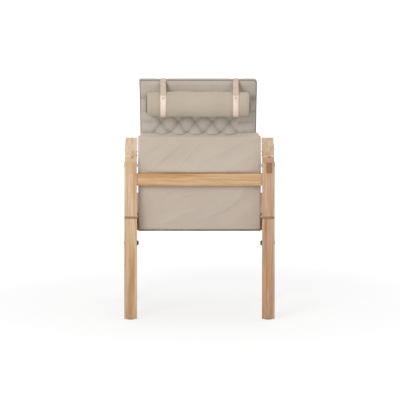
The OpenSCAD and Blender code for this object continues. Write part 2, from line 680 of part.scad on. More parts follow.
module rear_rail_screws() color(steel) placed() left_too()
    translate([side_rail_x + side_rail_t / 2, rear_screw_y, side_rail_top - rear_rail_h / 2 + joint_gap]) {
        cylinder(r = lap_screw_r, h = deck_z(rear_screw_y + lap_screw_head_r) - side_rail_top
            + rear_rail_h / 2, $fn = 32);
        translate([0, 0, deck_z(rear_screw_y + lap_screw_head_r) - side_rail_top + rear_rail_h / 2])
            cylinder(r = lap_screw_head_r, h = bolt_head_t, $fn = 32);
    }

module foot_glides() color(rubber) placed() left_too() {
    translate([leg_in_x + rear_leg_w / 2, upright_proud + rear_leg_d / 2, 0])
        cylinder(r = glide_r, h = glide_t, $fn = 48);
    translate([front_in_x + front_leg_w / 2, frame_d - front_leg_d / 2, 0])
        cylinder(r = glide_r, h = glide_t, $fn = 48);
}

stud_ys = [120, 220];
stud_r = 3;
stud_t = 1.6;
module arm_studs() color(steel) placed() left_too()
    for (y = stud_ys) round_x(leg_in_x - stud_t, stud_t, y, arm_top(y) - arm_t / 2, stud_r);

// A strap's run over the cushion's top and its straight drop to the loop, as a side view.
// side is 1 at the back and -1 at the front.
module strap_view(shoulder, c, r, angle, side) {
    foot = on_circle(c, r, angle);
    foot_out = on_circle(c, r + leather_t, angle);
    bend = side * leather_t * tan((90 - side * (angle - 90)) / 2) / 2;
    polygon([[strap_mid - side * joint_gap, strap_top], shoulder, foot, foot_out,
        [shoulder[0] - bend, strap_top + leather_t], [strap_mid - side * joint_gap, strap_top + leather_t]]);
}

module rear_strap_right() color(leather) in_back()
    along_x(strap_x - strap_w / 2, strap_w) strap_view(rear_shoulder, rear_c, rear_drop_r, rear_angle, 1);
module rear_strap_left() mirror([1, 0, 0]) rear_strap_right();

module front_strap_right() color(leather) in_back()
    along_x(strap_x - strap_w / 2, strap_w) strap_view(neck_shoulder, neck_c, neck_drop_r, neck_angle, -1);
module front_strap_left() mirror([1, 0, 0]) front_strap_right();

// A stuffed roll along X, with rounded ends and a covered button on each
module roll(c, r) translate([0, c[0], c[1]]) rotate([0, 90, 0]) {
    translate([0, 0, -roll_len / 2]) rotate_extrude($fn = 72) union() {
        square([r - roll_end_r, roll_len]);
        translate([0, roll_end_r]) square([r, roll_len - 2 * roll_end_r]);
        for (y = [roll_end_r, roll_len - roll_end_r])
            translate([r - roll_end_r, y]) circle(r = roll_end_r, $fn = 32);
    }
    translate([0, 0, -roll_len / 2 - button_t]) cylinder(r = button_r, h = roll_len + 2 * button_t, $fn = 32);
}

module roll_loops(c, r) left_too() difference() {
    round_x(strap_x - strap_w / 2, strap_w, c[0], c[1], r + loop_gap + leather_t);
    round_x(strap_x - strap_w, 2 * strap_w, c[0], c[1], r + loop_gap);
}

// A stud on the loop's outer side, square to it
module loop_studs(c, r, angle) left_too() translate([strap_x, c[0], c[1]]) rotate([angle, 0, 0])
    translate([0, r, 0]) rotate([-90, 0, 0]) cylinder(r = strap_stud_r, h = strap_stud_t, $fn = 32);

stud_turn = 28;       // from a strap's foot round the loop to its stud
module rear_roll() color(canvas) in_back() roll(rear_c, rear_roll_r);
module rear_roll_loops() color(leather) in_back() roll_loops(rear_c, rear_roll_r);
module rear_roll_studs() color(bright_steel) in_back()
    loop_studs(rear_c, rear_loop_r, rear_angle + stud_turn);
module neck_roll() color(canvas) in_back() roll(neck_c, neck_roll_r);
module neck_roll_loops() color(leather) in_back() roll_loops(neck_c, neck_roll_r);
module neck_roll_studs() color(bright_steel) in_back()
    loop_studs(neck_c, neck_loop_r, neck_angle - stud_turn);

rear_leg_left();
rear_leg_right();
rear_upright_left();
rear_upright_right();
front_leg_left();
front_leg_right();
armrest_left();
armrest_right();
side_rail_left();
side_rail_right();
front_rail();
rear_rail();
back_bar();
seat_webbing();
seat_canvas();
seat_cushion();
arm_bolts();
arm_bolt_heads();
rail_bolts();
rail_washers();
lap_screws();
rear_rail_screws();
foot_glides();
hinge_bracket_left();
hinge_bracket_right();
bracket_screws();
hinge_pins();
hinge_spacers();
arm_studs();
back_stile_left();
back_stile_right();
back_bottom_rail();
back_lumbar_rail();
back_mid_rail();
headrest_post_left();
headrest_post_right();
headrest_rail();
hinge_bushes();
hinge_washers();
back_canvas();
back_cushion();
leather_tab_left();
leather_tab_right();
tab_studs();
rear_strap_left();
rear_strap_right();
front_strap_left();
front_strap_right();
rear_roll();
rear_roll_loops();
rear_roll_studs();
neck_roll();
neck_roll_loops();
neck_roll_studs();
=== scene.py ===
# Lounge chair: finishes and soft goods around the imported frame. Metres, sitter faces +Y.
import json
import math

import bmesh
import bpy
from mathutils import Matrix, Vector, noise
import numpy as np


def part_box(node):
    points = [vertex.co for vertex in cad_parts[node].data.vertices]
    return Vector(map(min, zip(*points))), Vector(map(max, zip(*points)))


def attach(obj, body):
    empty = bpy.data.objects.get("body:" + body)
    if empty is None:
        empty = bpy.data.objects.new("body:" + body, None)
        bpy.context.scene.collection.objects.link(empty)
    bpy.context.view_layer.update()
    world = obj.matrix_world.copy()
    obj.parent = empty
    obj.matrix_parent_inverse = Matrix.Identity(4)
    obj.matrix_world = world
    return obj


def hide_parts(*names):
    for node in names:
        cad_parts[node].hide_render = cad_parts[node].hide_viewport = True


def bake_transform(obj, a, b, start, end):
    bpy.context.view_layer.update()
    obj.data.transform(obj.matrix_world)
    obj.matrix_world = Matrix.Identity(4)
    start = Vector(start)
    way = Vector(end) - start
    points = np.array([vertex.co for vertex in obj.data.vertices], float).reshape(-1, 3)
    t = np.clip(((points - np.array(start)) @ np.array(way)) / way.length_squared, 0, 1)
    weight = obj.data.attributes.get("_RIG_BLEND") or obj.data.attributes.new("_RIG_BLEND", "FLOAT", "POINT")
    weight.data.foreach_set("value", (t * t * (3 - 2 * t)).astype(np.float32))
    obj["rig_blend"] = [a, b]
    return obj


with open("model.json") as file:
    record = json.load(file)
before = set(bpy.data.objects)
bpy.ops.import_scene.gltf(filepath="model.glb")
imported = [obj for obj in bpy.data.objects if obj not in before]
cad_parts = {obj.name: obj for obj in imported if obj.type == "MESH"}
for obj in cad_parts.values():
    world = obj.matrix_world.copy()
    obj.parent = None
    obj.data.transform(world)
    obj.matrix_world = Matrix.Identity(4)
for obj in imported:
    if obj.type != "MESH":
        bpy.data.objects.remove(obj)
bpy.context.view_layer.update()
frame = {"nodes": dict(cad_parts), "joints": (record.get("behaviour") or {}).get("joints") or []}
joints = {joint["name"]: joint for joint in frame["joints"]}

mm = 0.001
pivot = Vector(joints["back_fold"]["pos_m"])
backUp = -Vector(joints["neck_roll_slide"]["axis"])
backForward = Vector((0, backUp.z, -backUp.y))
backSpace = Matrix((
    (1, 0, 0, pivot.x),
    (0, backForward.y, backUp.y, pivot.y),
    (0, backForward.z, backUp.z, pivot.z),
    (0, 0, 0, 1)))  # X across, Y out of the back, Z up the back


def boxIn(node, space=Matrix.Identity(4)):
    back = space.inverted()
    points = [back @ v.co for v in frame["nodes"][node].data.vertices]
    low = Vector([min(p[k] for p in points) for k in range(3)])
    high = Vector([max(p[k] for p in points) for k in range(3)])
    return low, high


# Camera, sky and lamps
view = {
    "distance": 58.0,        # a very long lens, nearly parallel rays
    "elevation": 9.5,        # degrees above level
    "millimetresPerPixel": 4.0,
    "picture": 400,
    "footRow": 320,          # picture row of the rear feet
    "middleColumn": 199.5,   # picture column of the chair's middle
}

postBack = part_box("rear_upright_left")[0].y
tilt = math.radians(view["elevation"])
half = view["picture"] / 2
rise = (view["footRow"] - half) * view["millimetresPerPixel"] * mm / math.cos(tilt)
aimX = (half - view["middleColumn"]) * view["millimetresPerPixel"] * mm
camera = bpy.data.objects.new("camera", bpy.data.cameras.new("camera"))
bpy.context.scene.collection.objects.link(camera)
camera.location = (
    aimX,
    postBack - view["distance"] * math.cos(tilt),
    rise + view["distance"] * math.sin(tilt))
camera.rotation_euler = (math.pi / 2 - tilt, 0, 0)
pictureWidth = view["picture"] * view["millimetresPerPixel"] * mm
camera.data.lens = camera.data.sensor_width * view["distance"] / pictureWidth
camera.data.clip_end = 400
bpy.context.scene.camera = camera
bpy.context.scene.view_settings.view_transform = "Standard"
print("camera", [round(c, 3) for c in camera.location], round(camera.data.lens, 1))


def hexColour(code):
    channels = [int(code[i:i + 2], 16) / 255 for i in (1, 3, 5)]
    linear = [c / 12.92 if c <= 0.04045 else ((c + 0.055) / 1.055) ** 2.4 for c in channels]
    return (*linear, 1.0)


def addNode(tree, kind, settings=None, links=None, values=None, stops=()):
    # a link comes from a socket, or from the first output of a node
    node = tree.nodes.new("ShaderNode" + kind)
    for key, value in (settings or {}).items():
        setattr(node, key, value)
    for key, value in (values or {}).items():
        node.inputs[key].default_value = value
    for key, source in (links or {}).items():
        tree.links.new(getattr(source, "outputs", [source])[0], node.inputs[key])
    if stops:
        band = node.color_ramp.elements
        while len(band) < len(stops):
            band.new(0.5)
        for element, (place, colour) in zip(band, stops):
            element.position, element.color = place, hexColour(colour)
    return node


def seenRays(tree, *kinds):
    rays = addNode(tree, "LightPath").outputs
    seen = rays[kinds[0]]
    for kind in kinds[1:]:
        seen = addNode(tree, "Math", {"operation": "MAXIMUM"}, {0: seen, 1: rays[kind]})
    return seen


def newMaterial(name):
    material = bpy.data.materials.new(name)
    material.use_nodes = True
    tree = material.node_tree
    tree.nodes.clear()
    return material, tree, addNode(tree, "TexCoord").outputs


world = bpy.data.worlds.new("studio")
bpy.context.scene.world = world
world.use_nodes = True
sky = world.node_tree
sky.nodes.clear()
skyFill = 0.64  # the light that the sky gives, while the camera and mirrors see it white
seen = seenRays(sky, "Is Camera Ray", "Is Glossy Ray", "Is Transmission Ray")
fill = addNode(sky, "Background", values={"Color": (1, 1, 1, 1), "Strength": skyFill})
paper = addNode(sky, "Background", values={"Color": (1, 1, 1, 1), "Strength": 1.0})
both = addNode(sky, "MixShader", links={0: seen, 1: fill, 2: paper})
addNode(sky, "OutputWorld", links={"Surface": both})

lamps = {  # place, the point it faces, size and power
    "keyLamp": ((-1.6, -3.7, 2.2), (0, 0, 0.6), 2.0, 80.0),
    "topLamp": ((0.3, 0.4, 3.2), (0, 0, 0.5), 2.4, 12.0),
    "sideLamp": ((2.8, -0.3, 1.5), (0, 0, 0.6), 1.6, 5.0),
}
for name, (place, target, size, power) in lamps.items():
    lamp = bpy.data.objects.new(name, bpy.data.lights.new(name, "AREA"))
    lamp.data.shape = "DISK"
    lamp.data.size = size
    lamp.data.energy = power
    lamp.location = place
    lamp.rotation_euler = (Vector(target) - Vector(place)).to_track_quat("-Z", "Y").to_euler()
    bpy.context.scene.collection.objects.link(lamp)

# White paper floor: matt for the shadows, with a glow for the camera alone that grows with the distance
paperSheet = {"colour": "#dcdddd", "size": 30, "near": 0.7, "far": 2.4, "nearGlow": 1.2, "farGlow": 1.8,
    "share": 0.6}

floorMaterial, floorTree, floorPlace = newMaterial("paperFloor")
floorSeen = seenRays(floorTree, "Is Camera Ray", "Is Glossy Ray")
away = addNode(floorTree, "VectorMath", {"operation": "LENGTH"}, {0: floorPlace["Object"]})
glowRise = addNode(floorTree, "MapRange", {"interpolation_type": "SMOOTHSTEP"}, {0: away.outputs["Value"]},
    {1: paperSheet["near"], 2: paperSheet["far"], 3: paperSheet["nearGlow"], 4: paperSheet["farGlow"]})
matte = addNode(floorTree, "BsdfDiffuse", values={"Color": hexColour(paperSheet["colour"])})
glow = addNode(floorTree, "Emission", {}, {"Strength": glowRise}, {"Color": (1, 1, 1, 1)})
share = addNode(floorTree, "Math", {"operation": "MULTIPLY"}, {0: floorSeen}, {1: paperSheet["share"]})
floorMix = addNode(floorTree, "MixShader", links={0: share, 1: matte, 2: glow})
addNode(floorTree, "OutputMaterial", links={"Surface": floorMix})

bm = bmesh.new()
bmesh.ops.create_grid(bm, x_segments=1, y_segments=1, size=paperSheet["size"])
floorMesh = bpy.data.meshes.new("floor")
bm.to_mesh(floorMesh)
bm.free()
floor = bpy.data.objects.new("floor", floorMesh)
bpy.context.scene.collection.objects.link(floor)
floorMesh.materials.append(floorMaterial)


# Oak, planed and oiled: satin, straight grain with open pores, warmer where the growth rings are dense
oak = {
    "upright": ("#e6d0b8", "#ddc3a6", "#cea888"),
    # a pinker oak for the right upright and leg, also drawn darker as painted shade, the light falling from
    # the left
    "pinkerShaded": ("#d3b69b", "#c7a386", "#b48a6c"),
    "leg": ("#dac1a2", "#cfb08d", "#be9974"),
    "rail": ("#dcc09c", "#cfad84", "#bd956c"),
    "cross": ("#dec29b", "#d5b183", "#c59c6d"),
    "arm": ("#f9e8d2", "#f1d9ba", "#e2c3a0"),
    # the right arm's copy is darker: painted shade, the right side getting less light
    "armShaded": ("#ead0b0", "#dcbd97", "#c9a47e"),
    "end": ("#d6ba98", "#c6a380"),
    # the right arm's end grain copy is darker: painted shade
    "endShaded": ("#bf9f82", "#ad8a6a"),
    # end grain under an upright's lip, darkened as painted shade
    "lip": ("#a5825f", "#8e6d4c"),
    "darkEnd": ("#a07a58", "#8a6446"),
    "knot": "#6e4a30",
    "pore": 0.5,           # width of a pore, in millimetres, drawn coarser than life
    "streak": 1.6,         # width of a fine streak, in millimetres
    "figure": 11.0,        # width of a growth band, in millimetres
    "rings": 3.0,          # growth bands in one swing of the figure
    "stretch": 0.03,       # width of the grain as a share of its length
    "endRings": 60.0,      # texture scale at which the rings on a sawn end are 5 mm apart
    "roughness": 0.52,
    "polish": 0.12,        # how much rougher the pale bands are than the dense ones
}
noiseWidth = 3  # a noise texture of scale 1 has features about a third of a unit wide


def marked(tree, place, colour, marks):
    for spot, size in marks:  # a knot or a nick: a dark middle that fades out into the wood
        off = addNode(tree, "VectorMath", {"operation": "SUBTRACT"}, {0: place["Object"]}, {1: spot})
        scaled = addNode(tree, "VectorMath", {"operation": "DIVIDE"}, {0: off}, {1: size})
        far = addNode(tree, "VectorMath", {"operation": "LENGTH"}, {0: scaled})
        dark = addNode(tree, "MapRange", {"interpolation_type": "SMOOTHSTEP"}, {0: far.outputs["Value"]},
            {1: 0.35, 2: 1.0, 3: 0.75, 4: 0.0})
        colour = addNode(tree, "Mix", {"data_type": "RGBA"}, {0: dark, 6: colour},
            {7: hexColour(oak["knot"])}).outputs[2]
    return colour


def oakMaterial(name, grain, tones, seed, marks=()):
    pale, middle, dark = tones
    material, tree, place = newMaterial(name)
    along = [oak["stretch"] if k == "XYZ".index(grain) else 1.0 for k in range(3)]
    board = addNode(tree, "Mapping", links={"Vector": place["Object"]},
        values={"Scale": along, "Location": (seed, seed * 0.7, seed * 1.3)})
    figure = addNode(tree, "TexNoise", {}, {"Vector": board},
        {"Scale": 1 / (oak["figure"] * noiseWidth * mm), "Detail": 2.0, "Roughness": 0.5, "Distortion": 0.3})
    bands = addNode(tree, "Math", {"operation": "MULTIPLY"}, {0: figure}, {1: oak["rings"]})
    bands = addNode(tree, "Math", {"operation": "PINGPONG"}, {0: bands}, {1: 0.5})
    bands = addNode(tree, "Math", {"operation": "MULTIPLY"}, {0: bands}, {1: 2.0})
    colour = addNode(tree, "ValToRGB", links={0: bands}, stops=[(0.0, dark), (0.4, middle), (1.0, pale)])
    broad = addNode(tree, "TexNoise", links={"Vector": board}, values={"Scale": 14.0, "Detail": 2.0})
    streak = addNode(tree, "TexNoise", links={"Vector": board},
        values={"Scale": 1 / (oak["streak"] * noiseWidth * mm), "Detail": 1.0})
    pores = addNode(tree, "TexNoise", links={"Vector": board},
        values={"Scale": 1 / (oak["pore"] * noiseWidth * mm), "Detail": 2.0})
    toning = (
        (broad, [(0.3, "#dcc3ae"), (0.7, "#ffffff")], 0.4),
        (streak, [(0.4, "#d9b995"), (0.6, "#ffffff")], 0.45),
        (pores, [(0.32, "#8f6d50"), (0.44, "#ffffff")], 0.35))
    for texture, stops, share in toning:
        tone = addNode(tree, "ValToRGB", links={0: texture}, stops=stops)
        colour = addNode(tree, "Mix", {"data_type": "RGBA", "blend_type": "MULTIPLY"},
            {6: colour, 7: tone}, {0: share}).outputs[2]
    colour = marked(tree, place, colour, marks)
    bump = addNode(tree, "Bump", {}, {"Height": pores}, {"Strength": 0.25, "Distance": 0.3 * mm})
    rough = addNode(tree, "Math", {"operation": "MULTIPLY_ADD"}, {0: bands},
        {1: oak["polish"], 2: oak["roughness"] - oak["polish"] / 2})
    shader = addNode(tree, "BsdfPrincipled", {}, {"Base Color": colour, "Roughness": rough, "Normal": bump},
        {"IOR": 1.48, "Specular IOR Level": 0.35})
    addNode(tree, "OutputMaterial", links={"Surface": shader})
    return material


def endGrainMaterial(name, grain, tones, marks=()):
    material, tree, place = newMaterial(name)
    rings = addNode(tree, "TexWave", {"wave_type": "RINGS", "rings_direction": grain},
        {"Vector": place["Object"]},
        {"Scale": oak["endRings"], "Distortion": 3.0, "Detail": 2.0, "Detail Scale": 1.5})
    colour = addNode(tree, "ValToRGB", links={0: rings.outputs["Fac"]},
        stops=[(0.0, tones[1]), (1.0, tones[0])])
    colour = marked(tree, place, colour, marks)
    dots = addNode(tree, "TexNoise", {}, {"Vector": place["Object"]}, {"Scale": 1200.0, "Detail": 1.0})
    bump = addNode(tree, "Bump", {}, {"Height": dots}, {"Strength": 0.3, "Distance": 0.3 * mm})
    shader = addNode(tree, "BsdfPrincipled", {}, {"Base Color": colour, "Normal": bump},
        {"Roughness": 0.62, "IOR": 1.48})
    addNode(tree, "OutputMaterial", links={"Surface": shader})
    return material


# Cotton canvas, plain weave, undyed: matt, with slubs along the threads and a soft sheen at grazing angles
canvas = {
    "panel": ("#cdbfb1", "#bfb0a1"),
    # the cushions' canvas, drawn greyer and cooler than the panel's: painted cool skylight, as on the back
    # cushion's top
    "cushion": ("#c2b8ad", "#b0a598"),
    "roll": ("#c1b3a3", "#aea08e"),
    "jute": ("#b59a74", "#927650"),
    "crease": "#75685b",    # painted shade at the bottom of a tuft, where the cloth is drawn in
    "tuftShade": 0.5,            # how far a tuft's bottom is darkened to that painted shade
    "thread": 1.2,          # thread spacing in millimetres, drawn about twice as coarse as life
    "slub": 9.0,            # length of a thick place in a thread, in millimetres
    "slubThin": 0.12,       # its width as a share of its length
}


def weaveMaterial(name, tones, thread=canvas["thread"], depth=0.25, laid="UV"):
    material, tree, place = newMaterial(name)
    cloth = addNode(tree, "SeparateXYZ", links={0: place[laid]})
    thin = canvas["slubThin"]
    waves, heights, slubs = [], [], []
    for axis, squeeze in enumerate(((1, thin, 1), (thin, 1, 1))):  # warp, then weft
        run = addNode(tree, "Math", {"operation": "MULTIPLY"}, {0: cloth.outputs[axis]},
            {1: 2 * math.pi / (thread * mm)})
        waves.append(addNode(tree, "Math", {"operation": "SINE"}, {0: run}))
        heights.append(addNode(tree, "Math", {"operation": "ABSOLUTE"}, {0: waves[axis]}))
        drawnOut = addNode(tree, "Mapping", links={"Vector": place[laid]}, values={"Scale": squeeze})
        slubs.append(addNode(tree, "TexNoise", {}, {"Vector": drawnOut},
            {"Scale": 1 / (canvas["slub"] * thin * mm), "Detail": 2.0}))
    weave = addNode(tree, "Math", {"operation": "MULTIPLY"}, dict(enumerate(waves)))
    threads = addNode(tree, "Math", {"operation": "ADD"}, dict(enumerate(heights)))
    height = addNode(tree, "Math", {"operation": "MULTIPLY_ADD"}, {0: weave, 2: threads}, {1: 0.5})
    slub = addNode(tree, "Math", {"operation": "ADD"}, dict(enumerate(slubs)))
    slub = addNode(tree, "Math", {"operation": "MULTIPLY"}, {0: slub}, {1: 0.5})
    cloud = addNode(tree, "TexNoise", {}, {"Vector": place["Object"]}, {"Scale": 5.0, "Detail": 3.0})
    cloud = addNode(tree, "Math", {"operation": "MULTIPLY"}, {0: cloud}, {1: 0.4})
    mixed = addNode(tree, "Math", {"operation": "MULTIPLY_ADD"}, {0: slub, 2: cloud}, {1: 0.6})
    colour = addNode(tree, "ValToRGB", links={0: mixed}, stops=[(0.3, tones[1]), (0.68, tones[0])])
    drawn = addNode(tree, "Attribute", {"attribute_name": "drawn"})  # 1 at the bottom of a tuft, 0 elsewhere
    # painted shade: the cloth goes darker towards the bottom of each tuft
    tuftShade = addNode(tree, "Math", {"operation": "MULTIPLY"}, {0: drawn.outputs["Fac"]}, {1: canvas["tuftShade"]})
    colour = addNode(tree, "Mix", {"data_type": "RGBA"}, {0: tuftShade, 6: colour},
        {7: hexColour(canvas["crease"])}).outputs[2]
    bump = addNode(tree, "Bump", {}, {"Height": height}, {"Strength": depth, "Distance": 0.35 * mm})
    bump = addNode(tree, "Bump", {}, {"Height": slub, "Normal": bump},
        {"Strength": 0.2, "Distance": 0.6 * mm})
    shader = addNode(tree, "BsdfPrincipled", {}, {"Base Color": colour, "Normal": bump},
        {"Roughness": 0.88, "IOR": 1.45, "Specular IOR Level": 0.2, "Sheen Weight": 0.25,
            "Sheen Roughness": 0.45})
    addNode(tree, "OutputMaterial", links={"Surface": shader})
    return material


# Vegetable-tanned leather, natural and undyed: pale pink-tan, close grain, slight gloss from waxing
hide = {
    "face": "#ead6c8", "shade": "#e2cab8", "edge": "#c39c7c",
    "strapShadeFace": "#ccb8a9", "strapShadeDark": "#c0aa98",   # straps: a darker, greyer copy, painted shade for their shaded run from the cushion's top to the roll
    "grain": 1.6,
}


def fibrous(name, tones, relief, depth, fibres, gloss):
    # relief is a texture's kind with its settings and values, depth a bump's strength and distance
    material, tree, place = newMaterial(name)
    kind, settings, values = relief
    cells = addNode(tree, kind, settings, {"Vector": place["Object"]}, values)
    fibres = addNode(tree, "TexNoise", {}, {"Vector": place["Object"]}, fibres)
    face, shade = tones
    colour = addNode(tree, "ValToRGB", links={0: fibres}, stops=[(0.35, shade), (0.65, face)])
    height = cells.outputs["Fac" if kind == "TexWave" else "Distance"]
    bump = addNode(tree, "Bump", {}, {"Height": height}, {"Strength": depth[0], "Distance": depth[1] * mm})
    shader = addNode(tree, "BsdfPrincipled", {}, {"Base Color": colour, "Normal": bump}, gloss)
    addNode(tree, "OutputMaterial", links={"Surface": shader})
    return material


def leatherMaterial(name, *tones):
    return fibrous(name, tones, ("TexVoronoi", {}, {"Scale": 1 / (hide["grain"] * mm)}), (0.25, 0.2),
        {"Scale": 60.0, "Detail": 5.0}, {"Roughness": 0.55, "IOR": 1.5, "Specular IOR Level": 0.4})


# Twisted cotton, in piping, the hem's tape and thread: fine slanting ribs that catch the light; the piping's
# and the tape's dark tones are painted shade
def twistMaterial(name, face, shade, rib):
    ribs = "TexWave", {"bands_direction": "DIAGONAL"}, {"Scale": math.pi / (5 * rib * mm), "Distortion": 0.6}
    return fibrous(name, (face, shade), ribs, (0.35, 0.3), {"Scale": 90.0, "Detail": 3.0},
        {"Roughness": 0.85, "IOR": 1.45, "Specular IOR Level": 0.2, "Sheen Weight": 0.2})


# Steel and brass are brushed or drawn, rubber is moulded: grit is the size of their roughness in millimetres
def metalMaterial(name, colour, metallic, roughness, grit, brush=(1, 1, 1)):
    material, tree, place = newMaterial(name)
    run = addNode(tree, "Mapping", links={"Vector": place["Object"]}, values={"Scale": brush})
    scratches = addNode(tree, "TexNoise", {}, {"Vector": run}, {"Scale": 1 / (grit * mm), "Detail": 3.0})
    bump = addNode(tree, "Bump", {}, {"Height": scratches}, {"Strength": 0.12, "Distance": 0.05 * mm})
    rough = addNode(tree, "Math", {"operation": "MULTIPLY_ADD"}, {0: scratches},
        {1: 0.2, 2: roughness - 0.1})
    shader = addNode(tree, "BsdfPrincipled", {}, {"Roughness": rough, "Normal": bump},
        {"Base Color": hexColour(colour), "Metallic": metallic})
    addNode(tree, "OutputMaterial", links={"Surface": shader})
    return material


# the right side's oak copies are darker: painted shade, the light falling from the left
uprightOak = {
    "left": oakMaterial("oiledOakUprightLeft", "Z", oak["upright"], 0.31),
    "right": oakMaterial("oiledOakUprightRight", "Z", oak["pinkerShaded"], 5.2)}
legOak = {
    "left": oakMaterial("oiledOakLegLeft", "Z", oak["leg"], 2.9),
    "right": oakMaterial("oiledOakLegRight", "Z", oak["pinkerShaded"], 8.4)}
armKnot = [((-0.2688, -0.194, 0.6595), (0.007, 0.012, 0.0055))]  # seen on the left arm's rear edge
armNick = [((0.280, -0.194, 0.6605), (0.013, 0.010, 0.0032))]   # and a short one on the right arm's
# the right arm's wood and end grain are darker copies: painted shade
armOak = {
    "left": oakMaterial("oiledOakArmLeft", "Y", oak["arm"], 4.1, armKnot),
    "right": oakMaterial("oiledOakArmRight", "Y", oak["armShaded"], 6.6, armNick)}
armEnd = {
    "left": endGrainMaterial("oakEndGrainArmLeft", "Y", oak["end"], armKnot),
    "right": endGrainMaterial("oakEndGrainArmRight", "Y", oak["endShaded"], armNick)}
railOak = oakMaterial("oiledOakRail", "Y", oak["rail"], 1.7)
crossOak = oakMaterial("oiledOakCross", "X", oak["cross"], 2.3)
backOak = oakMaterial("oiledOakBackFrame", "Z", oak["rail"], 3.7)
endOak = {axis: endGrainMaterial("oakEndGrain" + axis, axis, oak["end"]) for axis in "XYZ"}
darkEnd = endGrainMaterial("oakEndGrainDark", "Y", oak["darkEnd"])
lipShadeEnd = endGrainMaterial("oakEndGrainLipShade", "Z", oak["lip"])
panelCanvas = weaveMaterial("cottonCanvasPanel", canvas["panel"])
cushionCanvas = weaveMaterial("cottonCanvasCushion", canvas["cushion"])
rollCanvas = weaveMaterial("cottonCanvasRoll", canvas["roll"])
juteWeb = weaveMaterial("juteWebbing", canvas["jute"], thread=3.0, depth=0.6, laid="Object")
tannedLeather = leatherMaterial("tannedLeather", hide["face"], hide["shade"])
# the straps' leather is a darker copy of the tanned leather: painted shade
shadedStrapLeather = leatherMaterial("tannedLeatherStrapShade", hide["strapShadeFace"], hide["strapShadeDark"])
leatherEdge = leatherMaterial("tannedLeatherEdge", hide["shade"], hide["edge"])
blackSteel = metalMaterial("blackenedSteel", "#161514", 0.0, 0.5, 0.4)
brightSteel = metalMaterial("brushedSteel", "#b8b1a6", 1.0, 0.38, 0.3, (1, 6, 6))
bushBrass = metalMaterial("drawnBrass", "#c9a35c", 1.0, 0.35, 0.3)
glideRubber = metalMaterial("mouldedRubber", "#242322", 0.0, 0.8, 0.6)
# the piping is drawn darker than the cover: painted shade along the cushions' edges and beside the back's
# panel
pipingCanvas = twistMaterial("cottonPiping", "#948b81", "#82796f", 2.4)
# the hem's tape is dark: painted shade under the panel's foot
hemShadeTape = twistMaterial("cottonHemShade", "#8d8074", "#7b6e62", 1.8)
linenThread = twistMaterial("linenThread", "#d6cbbd", "#c4b7a6", 0.9)


def newPiece(name, bm, material, smooth=35):
    mesh = bpy.data.meshes.new(name)
    bm.normal_update()
    bm.to_mesh(mesh)
    bm.free()
    for entry in material if isinstance(material, (list, tuple)) else [material]:
        mesh.materials.append(entry)
    mesh.shade_smooth()
    mesh.set_sharp_from_angle(angle=math.radians(smooth))
    piece = bpy.data.objects.new(name, mesh)
    bpy.context.scene.collection.objects.link(piece)
    return piece


def settle(piece, body, slotName, *nodes):
    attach(piece, body)
    if nodes:
        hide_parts(*nodes)
    return piece


toX = Matrix.Rotation(math.pi / 2, 4, "Y")  # lays down what was made standing


def clamp(value, low, high):
    return max(low, min(high, value))


def smooth(value):
    t = clamp(value, 0.0, 1.0)
    return t * t * (3 - 2 * t)


def bell(distance, width, power=2):
    return math.exp(-abs(distance / width) ** power)


def ripple(*place):
    return noise.noise(Vector(place))


def packed(node):
    # the node's shape from the frame, with the corners of its triangles joined
    bm = bmesh.new()
    bm.from_mesh(frame["nodes"][node].data)
    bmesh.ops.remove_doubles(bm, verts=bm.verts, dist=1e-6)
    return bm


def newVerts(grown, kind="geom"):
    return [g for g in grown[kind] if isinstance(g, bmesh.types.BMVert)]


def spots(verts):
    return [v.co.copy() for v in verts]


def rod(bm, segments, radius, length, placed=Matrix.Identity(4)):
    # a cylinder; gives back the edges that run along it
    bmesh.ops.create_cone(bm, cap_ends=True, cap_tris=False, segments=segments, radius1=radius,
        radius2=radius, depth=length, matrix=placed)
    return [e for e in bm.edges if abs(e.verts[0].co.z - e.verts[1].co.z) > length / 2]


def bevelled(bm, edges, offset, segments, clamped=False):
    bmesh.ops.bevel(bm, geom=edges, offset=offset, offset_type="OFFSET", affect="EDGES",
        segments=segments, profile=0.5, material=-1, clamp_overlap=clamped)


def easeEdges(bm, offset, segments, shortest=0.0):
    bm.normal_update()
    corners = [e for e in bm.edges if len(e.link_faces) == 2 and e.calc_face_angle(0) > math.radians(50)
        and e.calc_length() > shortest]
    bevelled(bm, corners, offset, segments, True)


def thicken(bm, thickness):
    bmesh.ops.recalc_face_normals(bm, faces=bm.faces)
    bmesh.ops.solidify(bm, geom=bm.faces[:], thickness=thickness)
    bmesh.ops.recalc_face_normals(bm, faces=bm.faces)
    easeEdges(bm, thickness * 0.25, 2)


def joinInto(joined, bm):
    mesh = bpy.data.meshes.new("joined")
    bm.to_mesh(mesh)
    bm.free()
    joined.from_mesh(mesh)
    bpy.data.meshes.remove(mesh)


# Timber: every board keeps its cut shape and gets eased edges and end grain
easing = {
    "edge": 2.4, "segments": 3,
    "shortest": 8.0,       # edges shorter than this stay sharp
    "lip": 6.0,            # radius of the rounding under an upright's rear
}


def lipFoot(node):
    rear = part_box(node)[0].y + 0.1 * mm
    return min(v.co.z for v in frame["nodes"][node].data.vertices if v.co.y < rear)


def roundLip(bm, low, foot):
    # the upright's rear stands proud of the leg and turns in to it in a quarter round
    radius = easing["lip"] * mm
    cuts = 6
    for k in range(1, cuts + 1):
        cut = (0, 0, foot + radius * (1 - math.cos(math.pi / 2 * k / cuts)))
        bmesh.ops.bisect_plane(bm, geom=[*bm.verts, *bm.edges, *bm.faces], plane_co=cut, plane_no=(0, 0, 1))
    for v in bm.verts:
        left = foot + radius - v.co.z
        if 0 < left < radius * 1.2:
            v.co.y = max(v.co.y, low.y + radius - math.sqrt(max(0, radius ** 2 - left ** 2)))


